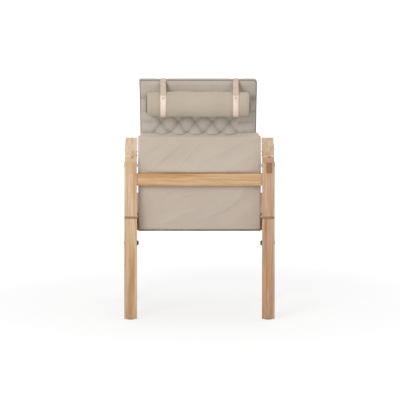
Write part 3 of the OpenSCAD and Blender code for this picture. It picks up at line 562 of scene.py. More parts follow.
def board(node, grain, material, body="frame", slotName="oak", ends=None):
    bm = packed(node)
    bmesh.ops.dissolve_limit(bm, angle_limit=math.radians(1), verts=bm.verts, edges=bm.edges)
    easeEdges(bm, easing["edge"] * mm, easing["segments"], easing["shortest"] * mm)
    if node.startswith("rear_upright"):
        roundLip(bm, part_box(node)[0], lipFoot(node))
    grainAxis = Vector([1.0 if k == "XYZ".index(grain) else 0.0 for k in range(3)])
    if body == "back":
        grainAxis = backSpace.to_3x3() @ grainAxis
    bm.normal_update()
    for face in bm.faces:
        face.material_index = 1 if abs(face.normal.dot(grainAxis)) > 0.9 else 0
    piece = newPiece(node + "_board", bm, [material, *(ends or [endOak[grain]])])
    return settle(piece, body, slotName, node)


for side in ("left", "right"):
    upright = board("rear_upright_" + side, "Z", uprightOak[side], ends=[endOak["Z"], lipShadeEnd])
    lipTop = lipFoot("rear_upright_" + side) + easing["lip"] * mm
    for face in upright.data.polygons:  # the lip turns under into end grain, drawn darker as painted shade under its rounding
        if face.normal.z < -0.15 and lipTop - 2 * easing["lip"] * mm < face.center.z < lipTop:
            face.material_index = 2
    for part in ("rear_leg", "front_leg"):
        board(part + "_" + side, "Z", legOak[side])
    arm = board("armrest_" + side, "Y", armOak[side], "frame", "arm_oak", [armEnd[side], darkEnd])
    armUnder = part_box("rear_upright_" + side)[1].z - 1 * mm
    for face in arm.data.polygons:  # the right tongue's end grain is darker
        if face.material_index == 1 and face.center.z < armUnder and side == "right":
            face.material_index = 2
    board("side_rail_" + side, "Y", railOak)
    board("back_stile_" + side, "Z", backOak, "back")
    board("headrest_post_" + side, "Z", backOak, "back")
for part in ("front_rail", "rear_rail"):
    board(part, "X", crossOak)
board("back_bar", "X", crossOak, "frame", "arm_oak")
for part in ("back_bottom_rail", "back_lumbar_rail", "back_mid_rail", "headrest_rail"):
    board(part, "X", crossOak, "back")
print("timber done")


def clothMap(bm):
    layer = bm.loops.layers.uv.verify()
    for face in bm.faces:
        widest = max(range(3), key=lambda k: abs(face.normal[k]))
        across, along = [(1, 2), (0, 2), (0, 1)][widest]
        for loop in face.loops:
            loop[layer].uv = (loop.vert.co[across], loop.vert.co[along])


# Piping and stitches follow the finished cloth
trim = {"piping": 2.4, "thread": 0.6,             # radii
    "stitch": 5.0, "gap": 3.5, "tie": 10.0}       # lengths


def pipingAlong(name, points, closed, body):
    curve = bpy.data.curves.new(name, "CURVE")
    curve.dimensions = "3D"
    curve.bevel_depth = trim["piping"] * mm
    curve.bevel_resolution = 2
    curve.use_fill_caps = True
    line = curve.splines.new("POLY")
    line.points.add(len(points) - 1)
    for point, place in zip(line.points, points):
        point.co = (*place, 1)
    line.use_cyclic_u = closed
    curve.materials.append(pipingCanvas)
    piece = bpy.data.objects.new(name, curve)
    bpy.context.scene.collection.objects.link(piece)
    return settle(piece, body, "cushion_canvas")


def threadAt(bm, middle, direction, length):
    turn = direction.to_track_quat("Z", "Y").to_matrix().to_4x4()
    rod(bm, 6, trim["thread"] * mm, length, Matrix.Translation(middle) @ turn)


def sewn(bm, path):
    walked = 0.0
    due = 0.0
    for before, after in zip(path, path[1:]):
        step = (after - before).length
        while due <= walked + step:
            threadAt(bm, before.lerp(after, (due - walked) / step), after - before, trim["stitch"] * mm)
            due += (trim["stitch"] + trim["gap"]) * mm
        walked += step


# Outer canvas of the back: one cloth, stretched over the rails and turned in round the frame
panel = {
    "step": 4.0,           # mesh spacing
    "cloth": 1.4,          # thickness of the canvas
    "corner": 5.0,         # radius where the cloth turns round the frame
    "wrap": 20.0,          # how far it turns in at the sides and the foot
    "flap": 26.0,          # cloth that runs on from the top edge to the cushion
    "bow": 12.0,           # how far the cloth swells out over the top of the cross bar
    "lip": 9.0,            # from the bar's top up to the fullest part of that swell
    "lean": 33.0,          # degrees at which the wrinkles climb
    "fold": 5.5,           # height of the broad folds
    "ridge": 1.5,          # height of the narrow ones
    "crease": 0.9,         # height of the small ones
    "foldScale": (11, 3.2), "warpScale": (24, 7),   # noise scales across and along a fold
    "ridgeScale": (17, 4.2), "creaseScale": 26,
    "flat": 0.12,          # less of this leaves more of the cloth flat between its folds
    "hem": 12.0,           # from the cloth's edge in to its stitches
    "roll": 4.2,           # radius of the bound hem along the foot
    "rollWave": (0.5, 0.4),   # how far that strays from straight
    "flapRise": 0.62,      # how much of the flap's length goes up
    "flapLean": 0.75,      # and how much goes forward, once past the edge
    "flapEdge": 12.0,      # how long that turn takes
    "flapDraw": 0.035,     # how far the flap is drawn in at its sides
    "calmSide": 35.0, "calmTop": 20.0, "calmFoot": 30.0,   # the cloth lies flat this near its edges
    "swellUp": 26.0, "swellDown": 7.0,                     # how soon the swell is gone
}
panelLow, panelHigh = boxIn("back_canvas", backSpace)
panelHalf = panelHigh.x - panel["corner"] * mm
panelFoot = panelLow.z + panel["corner"] * mm
panelTop = panelHigh.z - panel["corner"] * mm
barTop = (backSpace.inverted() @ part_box("back_bar")[1]).z


def turnIn(distance, radius):
    # how far on and how far in the cloth is, at a distance past where it starts to turn
    arc = radius * math.pi / 2
    if distance <= 0:
        return distance, 0.0
    if distance < arc:
        angle = distance / radius
        return radius * math.sin(angle), radius * (1 - math.cos(angle))
    return radius, radius + distance - arc


def slanted(x, u, scales, seed):
    lean = math.radians(panel["lean"])
    across = (u * math.cos(lean) - x * math.sin(lean)) * scales[0]
    along = (x * math.cos(lean) + u * math.sin(lean)) * scales[1]
    return ripple(across, along, seed)


def panelPoint(x, u):
    # from a place on the flat cloth to its place on the back
    radius = panel["corner"] * mm
    reach, inward = turnIn(abs(x) - panelHalf, radius)
    sideX = math.copysign(panelHalf + reach, x) if abs(x) > panelHalf else x
    footReach, footIn = turnIn(panelFoot - u, radius)
    n = panelLow.y + inward + (footIn if u < panelFoot else 0)
    newU = panelFoot - footReach if u < panelFoot else u
    if u > panelTop:  # the flap rises and leans forward to the cushion
        over = u - panelTop
        newU = panelTop + over * panel["flapRise"]
        n = panelLow.y + inward + over * panel["flapLean"] * min(1, over / (panel["flapEdge"] * mm))
        sideX *= 1 - panel["flapDraw"] * min(1, over / (panel["calmTop"] * mm))
    inside = clamp((panelHalf - abs(x)) / (panel["calmSide"] * mm), 0, 1)
    inside *= clamp((panelTop - u) / (panel["calmTop"] * mm), 0, 1)
    inside *= clamp((u - panelFoot) / (panel["calmFoot"] * mm), 0, 1)
    full = barTop + panel["lip"] * mm
    swell = bell(u - full, panel["swellDown" if u < full else "swellUp"] * mm) * (1 - (x / panelHalf) ** 2)
    warp = 0.3 * slanted(x, u, panel["warpScale"], 8.4)
    fold = max(0.0, panel["flat"] + slanted(x, u, panel["foldScale"], 3.1) + warp)
    ridge = max(0.0, 1 - abs(slanted(x, u, panel["ridgeScale"], 5.7)) * 5) ** 1.5
    fine = ripple(x * panel["creaseScale"], u * panel["creaseScale"], 7.7)
    pressed = bell(u - barTop + 0.012, 0.022)  # flat where the bar holds it
    loose = panel["fold"] * fold + panel["ridge"] * ridge + panel["crease"] * (fine + 0.5)
    n -= inside * (panel["bow"] * swell + loose * (1 - pressed)) * mm
    return Vector((sideX, n, newU))


def cloth(name, bm):
    piece = newPiece(name, bm, panelCanvas, 60)
    solid = piece.modifiers.new("cloth", "SOLIDIFY")
    solid.thickness = panel["cloth"] * mm
    solid.offset = 0
    return piece


def buildPanel():
    wide = panelHalf + panel["wrap"] * mm
    lowest = panelFoot - panel["wrap"] * mm
    highest = panelTop + panel["flap"] * mm
    bm = bmesh.new()
    columns = round(2 * wide / (panel["step"] * mm))
    rows = round((highest - lowest) / (panel["step"] * mm))
    bmesh.ops.create_grid(bm, x_segments=columns, y_segments=rows, size=0.5)
    layer = bm.loops.layers.uv.verify()
    flat = {v: (v.co.x * 2 * wide, lowest + (v.co.y + 0.5) * (highest - lowest)) for v in bm.verts}
    notches = []
    for face in bm.faces:
        corners = [flat[v] for v in face.verts]
        x = sum(c[0] for c in corners) / len(corners)
        u = sum(c[1] for c in corners) / len(corners)
        if abs(x) > panelHalf + 0.004 and not panelFoot - 0.004 < u < panelTop + 0.004:
            notches.append(face)
        for loop in face.loops:
            loop[layer].uv = flat[loop.vert]
    for v in bm.verts:
        v.co = backSpace @ panelPoint(*flat[v])
    bmesh.ops.delete(bm, geom=notches, context="FACES")
    piece = settle(cloth("back_canvas_cloth", bm), "back", "canvas", "back_canvas")
    sewnOn = buildHem(), buildStitches()


def buildHem():
    # the foot's raw edge is rolled into a tape, drawn dark as painted shade where the cloth turns under
    bm = bmesh.new()
    roll = panel["roll"] * mm
    long = rod(bm, 20, roll, 2 * panelHigh.x)
    bmesh.ops.subdivide_edges(bm, edges=long, cuts=90, use_grid_fill=True)
    bevelled(bm, [e for e in bm.edges if e.calc_face_angle(0) > 1], roll * 0.3, 2)
    for v in bm.verts:
        v.co.x += panel["rollWave"][0] * mm * ripple(v.co.z * 22, 1.5, 0.2)
        v.co.y += panel["rollWave"][1] * mm * ripple(v.co.z * 30, 4.5, 0.7)
    bm.transform(toX)
    bm.transform(backSpace @ Matrix.Translation((0, panelLow.y + roll * 0.5, panelLow.z - roll * 0.3)))
    return settle(newPiece("back_canvas_hem", bm, hemShadeTape, 60), "back", "canvas")


def buildStitches():
    bm = bmesh.new()
    proud = Vector((0, -(panel["cloth"] / 2 + trim["thread"] * 0.4) * mm, 0))
    side = panelHalf - panel["hem"] * mm
    low = panelFoot + panel["hem"] * mm
    high = panelTop - panel["hem"] * mm
    lines = [[(x, low + (high - low) * k / 120) for k in range(121)] for x in (-side, side)]
    lines += [[(-side + 2 * side * k / 140, u) for k in range(141)] for u in (low, high)]
    for line in lines:
        sewn(bm, [panelPoint(x, u) + proud for x, u in line])
    bm.transform(backSpace)
    return settle(newPiece("back_canvas_stitches", bm, linenThread, 40), "back", "canvas")


buildPanel()
print("back canvas done")

# Tufted cushions: a boxed cover drawn down in a diamond pattern, with straight pleats out to its edges
tufts = {
    "pitch": 69.0,         # between tufts in a row
    "row": 47.0,           # between rows
    "depth": 23.0,         # from a puff's top down to the tufts
    "pleat": 0.55,         # height of a pleat between two tufts, as a share of the puff
    "round": 0.5,          # power that makes the puffs full and the pleats sharp
    "uneven": 0.12,        # how much the puffs differ in height
    "sidePleat": 0.6,      # depth of a pleat that runs to an edge, as a share of a tuft's
    "step": 3.0,           # mesh spacing
    "band": 16.0,          # width of the back cushion's boxed side
    "side": 2.8,           # how far that swells out
}


def puff(x, u):
    # 0 at a tuft and about 1 in the middle of a diamond
    p = x / tufts["pitch"] + u / (2 * tufts["row"])
    q = x / tufts["pitch"] - u / (2 * tufts["row"])
    first = abs(math.sin(math.pi * p)) ** tufts["round"]
    second = abs(math.sin(math.pi * q)) ** tufts["round"]
    pleats = first + second - first * second
    cell = ripple(math.floor(p) * 5.3, math.floor(q) * 7.1, 0.5)
    return (tufts["pleat"] * pleats + (1 - tufts["pleat"]) * first * second) * (1 + tufts["uneven"] * cell)


def edgePleat(run, pitch):
    return 1 - tufts["sidePleat"] * (1 - abs(math.sin(math.pi * run / pitch)) ** tufts["round"])


def fullness(a, b):
    # 1 over most of the cushion, down to 0 at its edges
    return math.sqrt(max(0.0, 1 - abs(a) ** 6) * max(0.0, 1 - abs(b) ** 6))


def slab(wide, long):
    # a unit slab: its front and rear faces' points, the edges between them, and each rim in order round
    bm = bmesh.new()
    bm.verts.layers.float.new("drawn")
    bmesh.ops.create_grid(bm, x_segments=round(wide / (tufts["step"] * mm)),
        y_segments=round(long / (tufts["step"] * mm)), size=0.5)
    rear = set(bm.verts)
    grown = bmesh.ops.extrude_face_region(bm, geom=bm.faces[:])
    front = set(newVerts(grown))
    side = [e for e in bm.edges if (e.verts[0] in front) != (e.verts[1] in front)]
    turned = {v: math.atan2(v.co.x, v.co.y) for v in bm.verts if max(abs(v.co.x), abs(v.co.y)) > 0.4999}
    rims = [sorted((v for v in turned if v in face), key=turned.get) for face in (front, rear)]
    return bm, front, rear, side, rims


def drawnDown(x, u, low, high, span, calm):
    # x and u in millimetres from the pattern's own tuft; beyond the outer tufts the pleats run straight
    draw = puff(clamp(x, -span, span), clamp(u, low, high))
    out = smooth((abs(x) - span + 8) / 16)
    draw += (edgePleat(clamp(u, low, high), tufts["row"]) - draw) * out
    fade = 1 - calm * smooth((u - high) / 30)
    return 1 - (1 - draw) * fade


def tuftPlaces(rowsDown, rowsUp, columns):
    most = round(2 * columns)
    return [(k / 2 * tufts["pitch"], row * tufts["row"]) for row in range(-rowsDown, rowsUp + 1)
        for k in range(-most, most + 1) if (k - row) % 2 == 0]


def tieTufts(bm, surface, places, along, out):
    # two crossed turns of thread at the bottom of each tuft
    for x, run in places:
        spot = min(surface, key=lambda p: (p.x - x) ** 2 + (p[along] - run) ** 2)
        for lean in (-0.7, 0.7):
            direction = Vector((math.cos(lean), 0, 0))
            direction[along] = math.sin(lean)
            threadAt(bm, spot + out * 1.4 * mm, direction, trim["tie"] * mm)


def coverDone(bm, placed, node, body):
    bmesh.ops.recalc_face_normals(bm, faces=bm.faces)
    clothMap(bm)
    bm.transform(placed)
    piece = newPiece(node + "_cover", bm, cushionCanvas, 70)
    settle(piece, body, "cushion_canvas", node)


def tiesDone(ties, placed, node, body):
    ties.transform(placed)
    settle(newPiece(node + "_ties", ties, linenThread, 40), body, "cushion_canvas")


backCushion = {
    "tuftU": 404.0,        # a row of tufts, up from the hinge
    "tuftX": -10.6,        # a tuft of that row, from the cushion's middle
    "rowsUp": 2, "rowsDown": 7, "columns": 2.5,
    "shift": -5.0,         # the cushion sits a little to the left
    "rise": 27.5,          # height of a puff's top over the boxed side
    "pinch": 0.017,        # how much narrower the cushion is at half its height
    "dent": 15.0,          # how far a strap pulls the top edge in
    "dentW": 15.0,
    "sink": 2.5,           # and presses it down
    "cornerR": 12.0,
    "calmRear": 0.92,      # the rear is smooth above its tufts
    "calmFront": 0.3,
    "deeper": 14.0,        # the tufts just under the roll are drawn deepest
    "deeperUp": 8.0, "deeperW": 16.0,
    "stepIn": 12.0,        # above the canvas the rear comes out over this length
}


def buildBackCushion():
    low, high = boxIn("back_cushion", backSpace)
    halfW = (high.x - low.x) / 2
    foot, top = low.z, high.z
    shift = backCushion["shift"] * mm
    step = boxIn("back_canvas", backSpace)[1].z
    stepEnd = step + backCushion["stepIn"] * mm
    flatN = boxIn("back_stile_left", backSpace)[1].y + 0.4 * mm
    strapLow, strapHigh = boxIn("rear_strap_right", backSpace)
    postLow, postHigh = boxIn("headrest_post_right", backSpace)
    coverN = boxIn("headrest_rail", backSpace)[0].y - 1.5 * mm
    middle = strapHigh.y
    strapX = (strapLow.x + strapHigh.x) / 2 - shift
    strapX = (strapX, -(strapX + 2 * shift))
    bandHalf = tufts["band"] * mm / 2
    rounded = backCushion["cornerR"] * mm
    bm, front, rear, side, rims = slab(2 * halfW, top - foot)
    drawn = bm.verts.layers.float["drawn"]
    reachUp = backCushion["rowsUp"] * tufts["row"]
    reachDown = -backCushion["rowsDown"] * tufts["row"]
    span = backCushion["columns"] * tufts["pitch"]
    for v in bm.verts:
        a, b = v.co.x * 2, v.co.y * 2
        x = a * halfW
        u = foot + (b + 1) / 2 * (top - foot)
        lift = fullness(a, b)
        calm = backCushion["calmFront" if v in front else "calmRear"]
        fromTuft = u * 1000 - backCushion["tuftU"]
        draw = drawnDown(x * 1000 - backCushion["tuftX"], fromTuft, reachDown, reachUp, span, calm)
        v[drawn] = (1 - draw) * lift
        soft = ripple(x * 14, u * 14, 2.0) * 1.6 + ripple(x * 45, u * 45, 5.0) * 0.7
        height = (backCushion["rise"] - tufts["depth"] * (1 - draw) + soft - 1.5) * lift
        if v not in front:
            under = bell(fromTuft - reachUp - backCushion["deeperUp"], backCushion["deeperW"])
            height -= backCushion["deeper"] * under * (1 - draw) * lift
        pulled = sum(bell((x - place) * 1000, backCushion["dentW"]) for place in strapX)
        height -= backCushion["dent"] * pulled * smooth((u - top + 0.05) / 0.03) * lift
        if v in front:
            n = middle + bandHalf + height * mm
        else:
            n = middle - bandHalf - height * mm
            if postLow.x - 5 * mm < abs(x + shift) < postHigh.x + 5 * mm and u < postHigh.z:
                n = min(n, coverN)  # the cover lies on the headrest post there
            n = flatN + (n - flatN) * smooth((u - step - 1 * mm) / (stepEnd - step - 1 * mm))
        drop = backCushion["sink"] * mm * pulled * smooth((u - top + 0.02) / 0.02)
        if a > 0 and halfW - x < rounded and u > top - rounded:  # the right top corner is rounded off
            depth = rounded - math.sqrt(max(0, rounded ** 2 - (rounded - halfW + x) ** 2))
            drop = depth * (u - top + rounded) / rounded
        v.co = Vector((x * (1 - backCushion["pinch"] * (1 - b * b)), n, u - drop))
    surfaces = spots(front), spots(rear)
    pipes = [spots(rim) for rim in rims]
    for v in newVerts(bmesh.ops.subdivide_edges(bm, edges=side, cuts=3), "geom_inner"):
        a = v.co.x / halfW
        b = (v.co.z - foot) / (top - foot) * 2 - 1
        swell = tufts["side"] * mm * max(0, 1 - ((v.co.y - middle) / bandHalf) ** 2)
        if abs(a) > 0.95:
            v.co.x += math.copysign(swell, a)
        if abs(b) > 0.97:
            v.co.z += math.copysign(swell * 0.3, b)
    placed = backSpace @ Matrix.Translation((shift, 0, 0))
    coverDone(bm, placed, "back_cushion", "back")
    pipingAlong("back_cushion_piping_front", [placed @ p for p in pipes[0]], True, "back")
    pipingAlong("back_cushion_piping_rear", [placed @ p for p in pipes[1] if p.z > stepEnd], False, "back")
    places = [((x + backCushion["tuftX"]) * mm, (run + backCushion["tuftU"]) * mm) for x, run in
        tuftPlaces(backCushion["rowsDown"], backCushion["rowsUp"], backCushion["columns"])]
    ties = bmesh.new()
    tieTufts(ties, surfaces[0], places, 2, Vector((0, 1, 0)))
    tieTufts(ties, surfaces[1], [spot for spot in places if spot[1] > step + 0.03], 2, Vector((0, -1, 0)))
    tiesDone(ties, placed, "back_cushion", "back")


buildBackCushion()
print("back cushion done")

seatCushion = {
    "band": 34.0, "side": 2.0,                # height of the boxed side and how far it swells out
    "rise": 34.0, "pinch": 0.014,
    "tuftY": 55.0, "rows": 6, "columns": 3.0, # the first row of tufts, from the cushion's rear
    "calm": 0.2,
}
webLow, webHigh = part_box("seat_webbing")
deckTilt = math.atan2(webHigh.z - webLow.z - 1.8 * mm, webHigh.y - webLow.y)
deckSpace = Matrix.Translation((0, webLow.y, webLow.z)) @ Matrix.Rotation(deckTilt, 4, "X")


def buildSeatCushion():
    low, high = boxIn("seat_cushion", deckSpace)
    halfW = (high.x - low.x) / 2
    band = seatCushion["band"] * mm
    bm, front, rear, side, rims = slab(2 * halfW, high.y - low.y)
    drawn = bm.verts.layers.float["drawn"]
    for v in bm.verts:
        a, b = v.co.x * 2, v.co.y * 2
        x = a * halfW
        y = low.y + (b + 1) / 2 * (high.y - low.y)
        lift = fullness(a, b)
        draw = drawnDown(x * 1000, (y - low.y) * 1000 - seatCushion["tuftY"], 0,
            seatCushion["rows"] * tufts["row"], seatCushion["columns"] * tufts["pitch"], seatCushion["calm"])
        z = low.z
        if v in front:
            v[drawn] = (1 - draw) * lift
            height = seatCushion["rise"] - tufts["depth"] * (1 - draw) + ripple(x * 14, y * 14, 9.0) * 1.5
            z += band + height * lift * mm
        v.co = Vector((x * (1 - seatCushion["pinch"] * (1 - b * b)), y, z))
    surface = spots(front)
    pipes = [spots(rim) for rim in rims]
    centre = (low.y + high.y) / 2
    for v in newVerts(bmesh.ops.subdivide_edges(bm, edges=side, cuts=3), "geom_inner"):
        swell = seatCushion["side"] * mm * max(0, 1 - ((v.co.z - low.z) / band * 2 - 1) ** 2)
        if abs(v.co.x) > halfW * 0.95:
            v.co.x += math.copysign(swell, v.co.x)
        if abs(v.co.y - centre) > (high.y - low.y) * 0.48:
            v.co.y += math.copysign(swell, v.co.y - centre)
    coverDone(bm, deckSpace, "seat_cushion", "frame")
    raised = Vector((0, 0, trim["piping"] * 0.6 * mm))
    pipingAlong("seat_cushion_piping_top", [deckSpace @ p for p in pipes[0]], True, "frame")
    pipingAlong("seat_cushion_piping_foot", [deckSpace @ (p + raised) for p in pipes[1]], True, "frame")
    places = [(x * mm, low.y + (run + seatCushion["tuftY"]) * mm) for x, run in
        tuftPlaces(0, seatCushion["rows"], seatCushion["columns"])]
    ties = bmesh.new()
    tieTufts(ties, surface, places, 1, Vector((0, 0, 1)))
    tiesDone(ties, deckSpace, "seat_cushion", "frame")


buildSeatCushion()
print("seat cushion done")

# Rolls: stuffed canvas tubes, gathered slightly where the straps hold them
rollShape = {
    "segments": 144, "rings": 130, "capRings": 5,
    "shorter": 6.0,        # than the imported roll, for the bulge of its ends
    "bulge": 3.0,
    "endR": 17.0,
    "press": 2.6,          # how far a strap presses the roll in
    "strapX": 145.0, "strapW": 22.0,
    "shift": {"rear_roll": -5.0, "neck_roll": 0.0},
    "gathers": 26, "gather": 1.4,
    "taper": 2.5, "taperRun": 55.0,                       # the stuffing thins out towards the ends
    "seam": {"rear_roll": -33.0, "neck_roll": 33.0},      # degrees round from the roll's foot
    "seamDeep": 3.4, "seamWide": 2.6,
    "fold": 2.0, "crease": 0.7,                           # height of the broad and the small wrinkles
}


def buildRoll(node):
    low, high = boxIn(node, backSpace)
    radius = (high.y - low.y) / 2
    centre = Vector((0, (low.y + high.y) / 2, (low.z + high.z) / 2))
    length = high.x - low.x - rollShape["shorter"] * mm
    endR = rollShape["endR"] * mm
    seamAngle = math.radians(rollShape["seam"][node])
    bm = bmesh.new()
    long = rod(bm, rollShape["segments"], radius, length)
    bmesh.ops.subdivide_edges(bm, edges=long, cuts=rollShape["rings"], use_grid_fill=True)
    for cap in [f for f in bm.faces if len(f.verts) > 8]:
        for k in range(rollShape["capRings"]):
            bmesh.ops.inset_region(bm, faces=[cap], thickness=radius * 0.17, use_even_offset=False)
    for v in bm.verts:
        r = math.hypot(v.co.x, v.co.y)
        angle = math.atan2(v.co.y, v.co.x)
        edge = length / 2 - abs(v.co.z)
        if r > radius * 0.97 and edge < endR:
            r = radius - endR + math.sqrt(max(0, endR ** 2 - (endR - edge) ** 2)) - rollShape["taper"] * mm
        elif r > radius * 0.97:
            press = bell(abs(v.co.z) * 1000 - rollShape["strapX"], rollShape["strapW"] * 0.75, 4)
            seam = bell((angle - seamAngle) * radius, rollShape["seamWide"] * mm)
            thin = smooth(1 - (edge - endR) / (rollShape["taperRun"] * mm))
            fold = ripple(v.co.z * 16, math.cos(angle) * 1.5, math.sin(angle) * 1.5)
            crease = ripple(v.co.z * 60, math.cos(angle) * 2.5, math.sin(angle) * 2.5)
            loose = rollShape["fold"] * fold + rollShape["crease"] * crease - rollShape["seamDeep"] * seam
            r += (loose * (1 - press) - rollShape["press"] * press - rollShape["taper"] * thin) * mm
        else:
            share = r / radius
            gather = math.cos(rollShape["gathers"] * angle) * math.sin(math.pi * share)
            bulge = rollShape["bulge"] * (1 - share ** 2) + rollShape["gather"] * gather
            v.co.z += math.copysign(bulge * mm, v.co.z)
        v.co.x, v.co.y = r * math.cos(angle), r * math.sin(angle)
    layer = bm.loops.layers.uv.verify()
    for face in bm.faces:
        around = face.calc_center_median()
        base = math.atan2(around.y, around.x)
        for loop in face.loops:
            turn = math.atan2(loop.vert.co.y, loop.vert.co.x)
            turn -= 2 * math.pi * round((turn - base) / (2 * math.pi))
            onEnd = abs(face.normal.z) > 0.9
            loop[layer].uv = loop.vert.co.xy if onEnd else (loop.vert.co.z, turn * radius)
    bm.transform(toX)
    bm.transform(backSpace @ Matrix.Translation(centre + Vector((rollShape["shift"][node] * mm, 0, 0))))
    piece = settle(newPiece(node + "_cover", bm, rollCanvas, 60), node, "cushion_canvas", node)
    return centre, radius


rolls = {node: buildRoll(node) for node in ("rear_roll", "neck_roll")}
print("rolls done")

# Straps: one leather strip on each side of the cushion's top, bent over its edge and down to the roll's loop
strap = {
    "thickness": 2.2,
    "bendR": 9.0,
    "shoulder": 17.0,      # where it leaves the cushion, out from the cushion's middle
    "stand": 2.9,          # how far it hangs off the roll, over the loop
    "wrap": 0.07,          # radians between its last points, which follow the roll
    "step": 3.0,           # mesh spacing
}


def smoothPath(points, radius, step):
    points = [Vector(point) for point in points]
    path = points[:1]
    for before, corner, after in zip(points, points[1:], points[2:]):
        reach = min(radius, (corner - before).length / 2.2, (after - corner).length / 2.2)
        first = corner + (before - corner).normalized() * reach
        last = corner + (after - corner).normalized() * reach
        path += [first.lerp(corner, k / 6).lerp(corner.lerp(last, k / 6), k / 6) for k in range(7)]
    path += points[-1:]
    fine = path[:1]
    for before, after in zip(path, path[1:]):
        parts = max(1, int((after - before).length / step))
        fine += [before.lerp(after, (k + 1) / parts) for k in range(parts)]
    return fine


def widen(bm, lines, reach):
    grown = bmesh.ops.extrude_edge_only(bm, edges=lines)
    bmesh.ops.translate(bm, verts=newVerts(grown), vec=reach)


def strip(points, x0, x1):
    bm = bmesh.new()
    edge = [bm.verts.new((x0, *point)) for point in points]
    widen(bm, [bm.edges.new(pair) for pair in zip(edge, edge[1:])], (x1 - x0, 0, 0))
    return bm


def leatherDone(bm, node, face):
    bm.normal_update()
    for side in bm.faces:
        side.material_index = 1 if abs(side.normal.x) > 0.8 else 0
    bm.transform(backSpace)
    return newPiece(node + "_leather", bm, [face, leatherEdge], 40)


def buildStrap(node, roll):
    low, high = boxIn(node, backSpace)
    centre, radius = rolls[roll]
    sign = -1 if roll == "rear_roll" else 1
    thickness = strap["thickness"] * mm
    topU = high.z - thickness / 2
    middleN = high.y if sign < 0 else low.y
    shoulder = (middleN + sign * strap["shoulder"] * mm, topU)
    outer = radius + thickness / 2 + strap["stand"] * mm
    reach = Vector((shoulder[0] - centre.y, shoulder[1] - centre.z))
    angle = math.atan2(reach.y, reach.x) - sign * math.acos(outer / reach.length)
    turns = [angle - sign * k * strap["wrap"] for k in range(4)]
    drape = [(centre.y + outer * math.cos(turn), centre.z + outer * math.sin(turn)) for turn in turns]
    path = smoothPath([(middleN, topU), shoulder, *drape], strap["bendR"] * mm, strap["step"] * mm)
    bm = strip(path, low.x, high.x)
    thicken(bm, thickness)
    # painted shade: the straps take the darker leather copy
    piece = leatherDone(bm, node, shadedStrapLeather)
    start = backSpace @ Vector((0, *shoulder))
    end = backSpace @ Vector((0, *drape[0]))
    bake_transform(piece, "back", roll, start=start, end=end)
    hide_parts(node)


for side in ("left", "right"):
    buildStrap("rear_strap_" + side, "rear_roll")
    buildStrap("front_strap_" + side, "neck_roll")


def buildLoops(roll):
    node = roll + "_loops"
    centre, radius = rolls[roll]
    thickness = strap["thickness"] * mm
    width = rollShape["strapW"] * mm
    joined = bmesh.new()
    for sign in (-1, 1):
        ring = bmesh.new()
        bmesh.ops.create_circle(ring, segments=96, radius=radius + thickness / 2)
        widen(ring, ring.edges[:], (0, 0, width))
        thicken(ring, thickness)
        x0 = sign * rollShape["strapX"] * mm - width / 2
        ring.transform(Matrix.Translation((x0, centre.y, centre.z)) @ toX)
        joinInto(joined, ring)
    settle(leatherDone(joined, node, tannedLeather), roll, "leather", node)


for roll in rolls:
    buildLoops(roll)
print("straps done")

# Seat canvas: stretched over the webbing and turned down over the front rail
seatCloth = {"bendR": 6.0, "step": 6.0, "columns": 71, "inset": 0.8, "hang": 1.6, "hangFrom": 4.0}


def buildSeatCanvas():
    low, high = boxIn("seat_canvas", deckSpace)
    frontY, topZ = high.y - seatCloth["inset"] * mm, high.z - seatCloth["inset"] * mm
    path = smoothPath([(low.y, topZ), (frontY, topZ), (frontY, low.z)],
        seatCloth["bendR"] * mm, seatCloth["step"] * mm)
    bm = strip(path, low.x, high.x)
    wide = [e for e in bm.edges if abs(e.verts[0].co.x - e.verts[1].co.x) > 0.1]
    bmesh.ops.subdivide_edges(bm, edges=wide, cuts=seatCloth["columns"] - 1, use_grid_fill=True)
    bmesh.ops.recalc_face_normals(bm, faces=bm.faces)
    clothMap(bm)
    for v in bm.verts:
        hung = smooth((high.z - v.co.z - seatCloth["hangFrom"] * mm) / 0.02)
        v.co.y += seatCloth["hang"] * mm * hung * (ripple(v.co.x * 16, v.co.z * 9, 6.1) + 0.4)
    bm.transform(deckSpace)
    piece = settle(cloth("seat_canvas_cloth", bm), "frame", "canvas", "seat_canvas")


buildSeatCanvas()
print("seat canvas done")

# Bolt heads: the arms' are low domes with a hexagon socket, one in the place of each packed head
boltHead = {"segments": 24, "round": 0.9, "socket": 0.52, "rim": 0.3, "deep": 1.7,
    "proud": 0.35}         # what is left of a head's height outside the legs


def headsDone(name, bm, node):
    piece = newPiece(name, bm, blackSteel, 30)
    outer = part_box("rear_leg_right")[1].x
    for v in piece.data.vertices:
        past = abs(v.co.x) - outer
        if past > 0:
            v.co.x = math.copysign(outer + past * boltHead["proud"], v.co.x)
    settle(piece, "frame", "black_steel", node)


def solidsOf(node):
    # the lowest and highest corner of each separate solid in a node
    bm = packed(node)
    left = set(bm.verts)
    boxes = []
    while left:
        group = [left.pop()]
        for v in group:
            near = {e.other_vert(v) for e in v.link_edges} & left
            left -= near
            group.extend(near)
        boxes.append([Vector([pick(v.co[k] for v in group) for k in range(3)]) for pick in (min, max)])
    bm.free()
    return sorted(boxes, key=lambda box: tuple(box[0]))


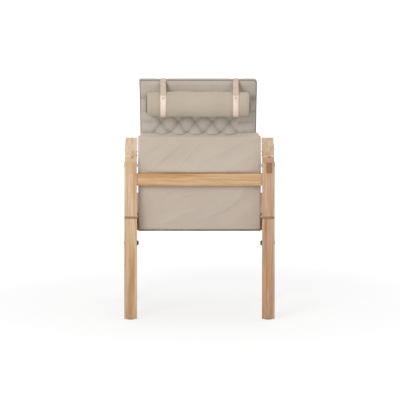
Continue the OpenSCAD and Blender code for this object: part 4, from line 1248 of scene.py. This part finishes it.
def buildArmHeads():
    legMiddle = sum(corner.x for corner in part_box("rear_leg_right")) / 2
    joined = bmesh.new()
    for low, high in solidsOf("arm_bolt_heads"):
        centre = (low + high) / 2
        radius = (high.z - low.z) / 2
        outward = math.copysign(1, centre.x) * (1 if abs(centre.x) > legMiddle else -1)
        bm = bmesh.new()
        rod(bm, boltHead["segments"], radius, high.x - low.x)
        cap = max(bm.faces, key=lambda f: f.calc_center_median().z)
        bevelled(bm, list(cap.edges), boltHead["round"] * mm, 4)
        cap = max(bm.faces, key=lambda f: f.calc_center_median().z)
        bmesh.ops.inset_region(bm, faces=[cap], thickness=radius * boltHead["rim"], use_even_offset=True)
        for v in cap.verts:  # a round opening made six-sided
            angle = math.atan2(v.co.y, v.co.x)
            flat = math.cos(math.pi / 6) / math.cos(angle % (math.pi / 3) - math.pi / 6)
            reach = radius * boltHead["socket"] * flat
            v.co.x, v.co.y = reach * math.cos(angle), reach * math.sin(angle)
        bmesh.ops.inset_region(bm, faces=[cap], thickness=0.02 * mm, depth=-boltHead["deep"] * mm)
        bm.transform(Matrix.Translation(centre) @ Matrix.Rotation(outward * math.pi / 2, 4, "Y"))
        joinInto(joined, bm)
    headsDone("arm_bolt_heads_socketed", joined, "arm_bolt_heads")


headsDone("rail_bolts_low", packed("rail_bolts"), "rail_bolts")
buildArmHeads()
print("bolt heads done")

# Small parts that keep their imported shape
keep = [
    (juteWeb, ["seat_webbing"]),
    (blackSteel, ["arm_bolts", "rail_washers", "lap_screws", "rear_rail_screws", "hinge_bracket_left",
        "hinge_bracket_right", "bracket_screws", "arm_studs"]),
    (brightSteel, ["hinge_pins", "hinge_spacers", "tab_studs", "rear_roll_studs", "neck_roll_studs"]),
    (bushBrass, ["hinge_bushes"]),
    (tannedLeather, ["hinge_washers", "leather_tab_left", "leather_tab_right"]),
    (glideRubber, ["foot_glides"]),
]
for material, nodes in keep:
    for node in nodes:
        mesh = frame["nodes"][node].data
        mesh.materials.clear()
        mesh.materials.append(material)
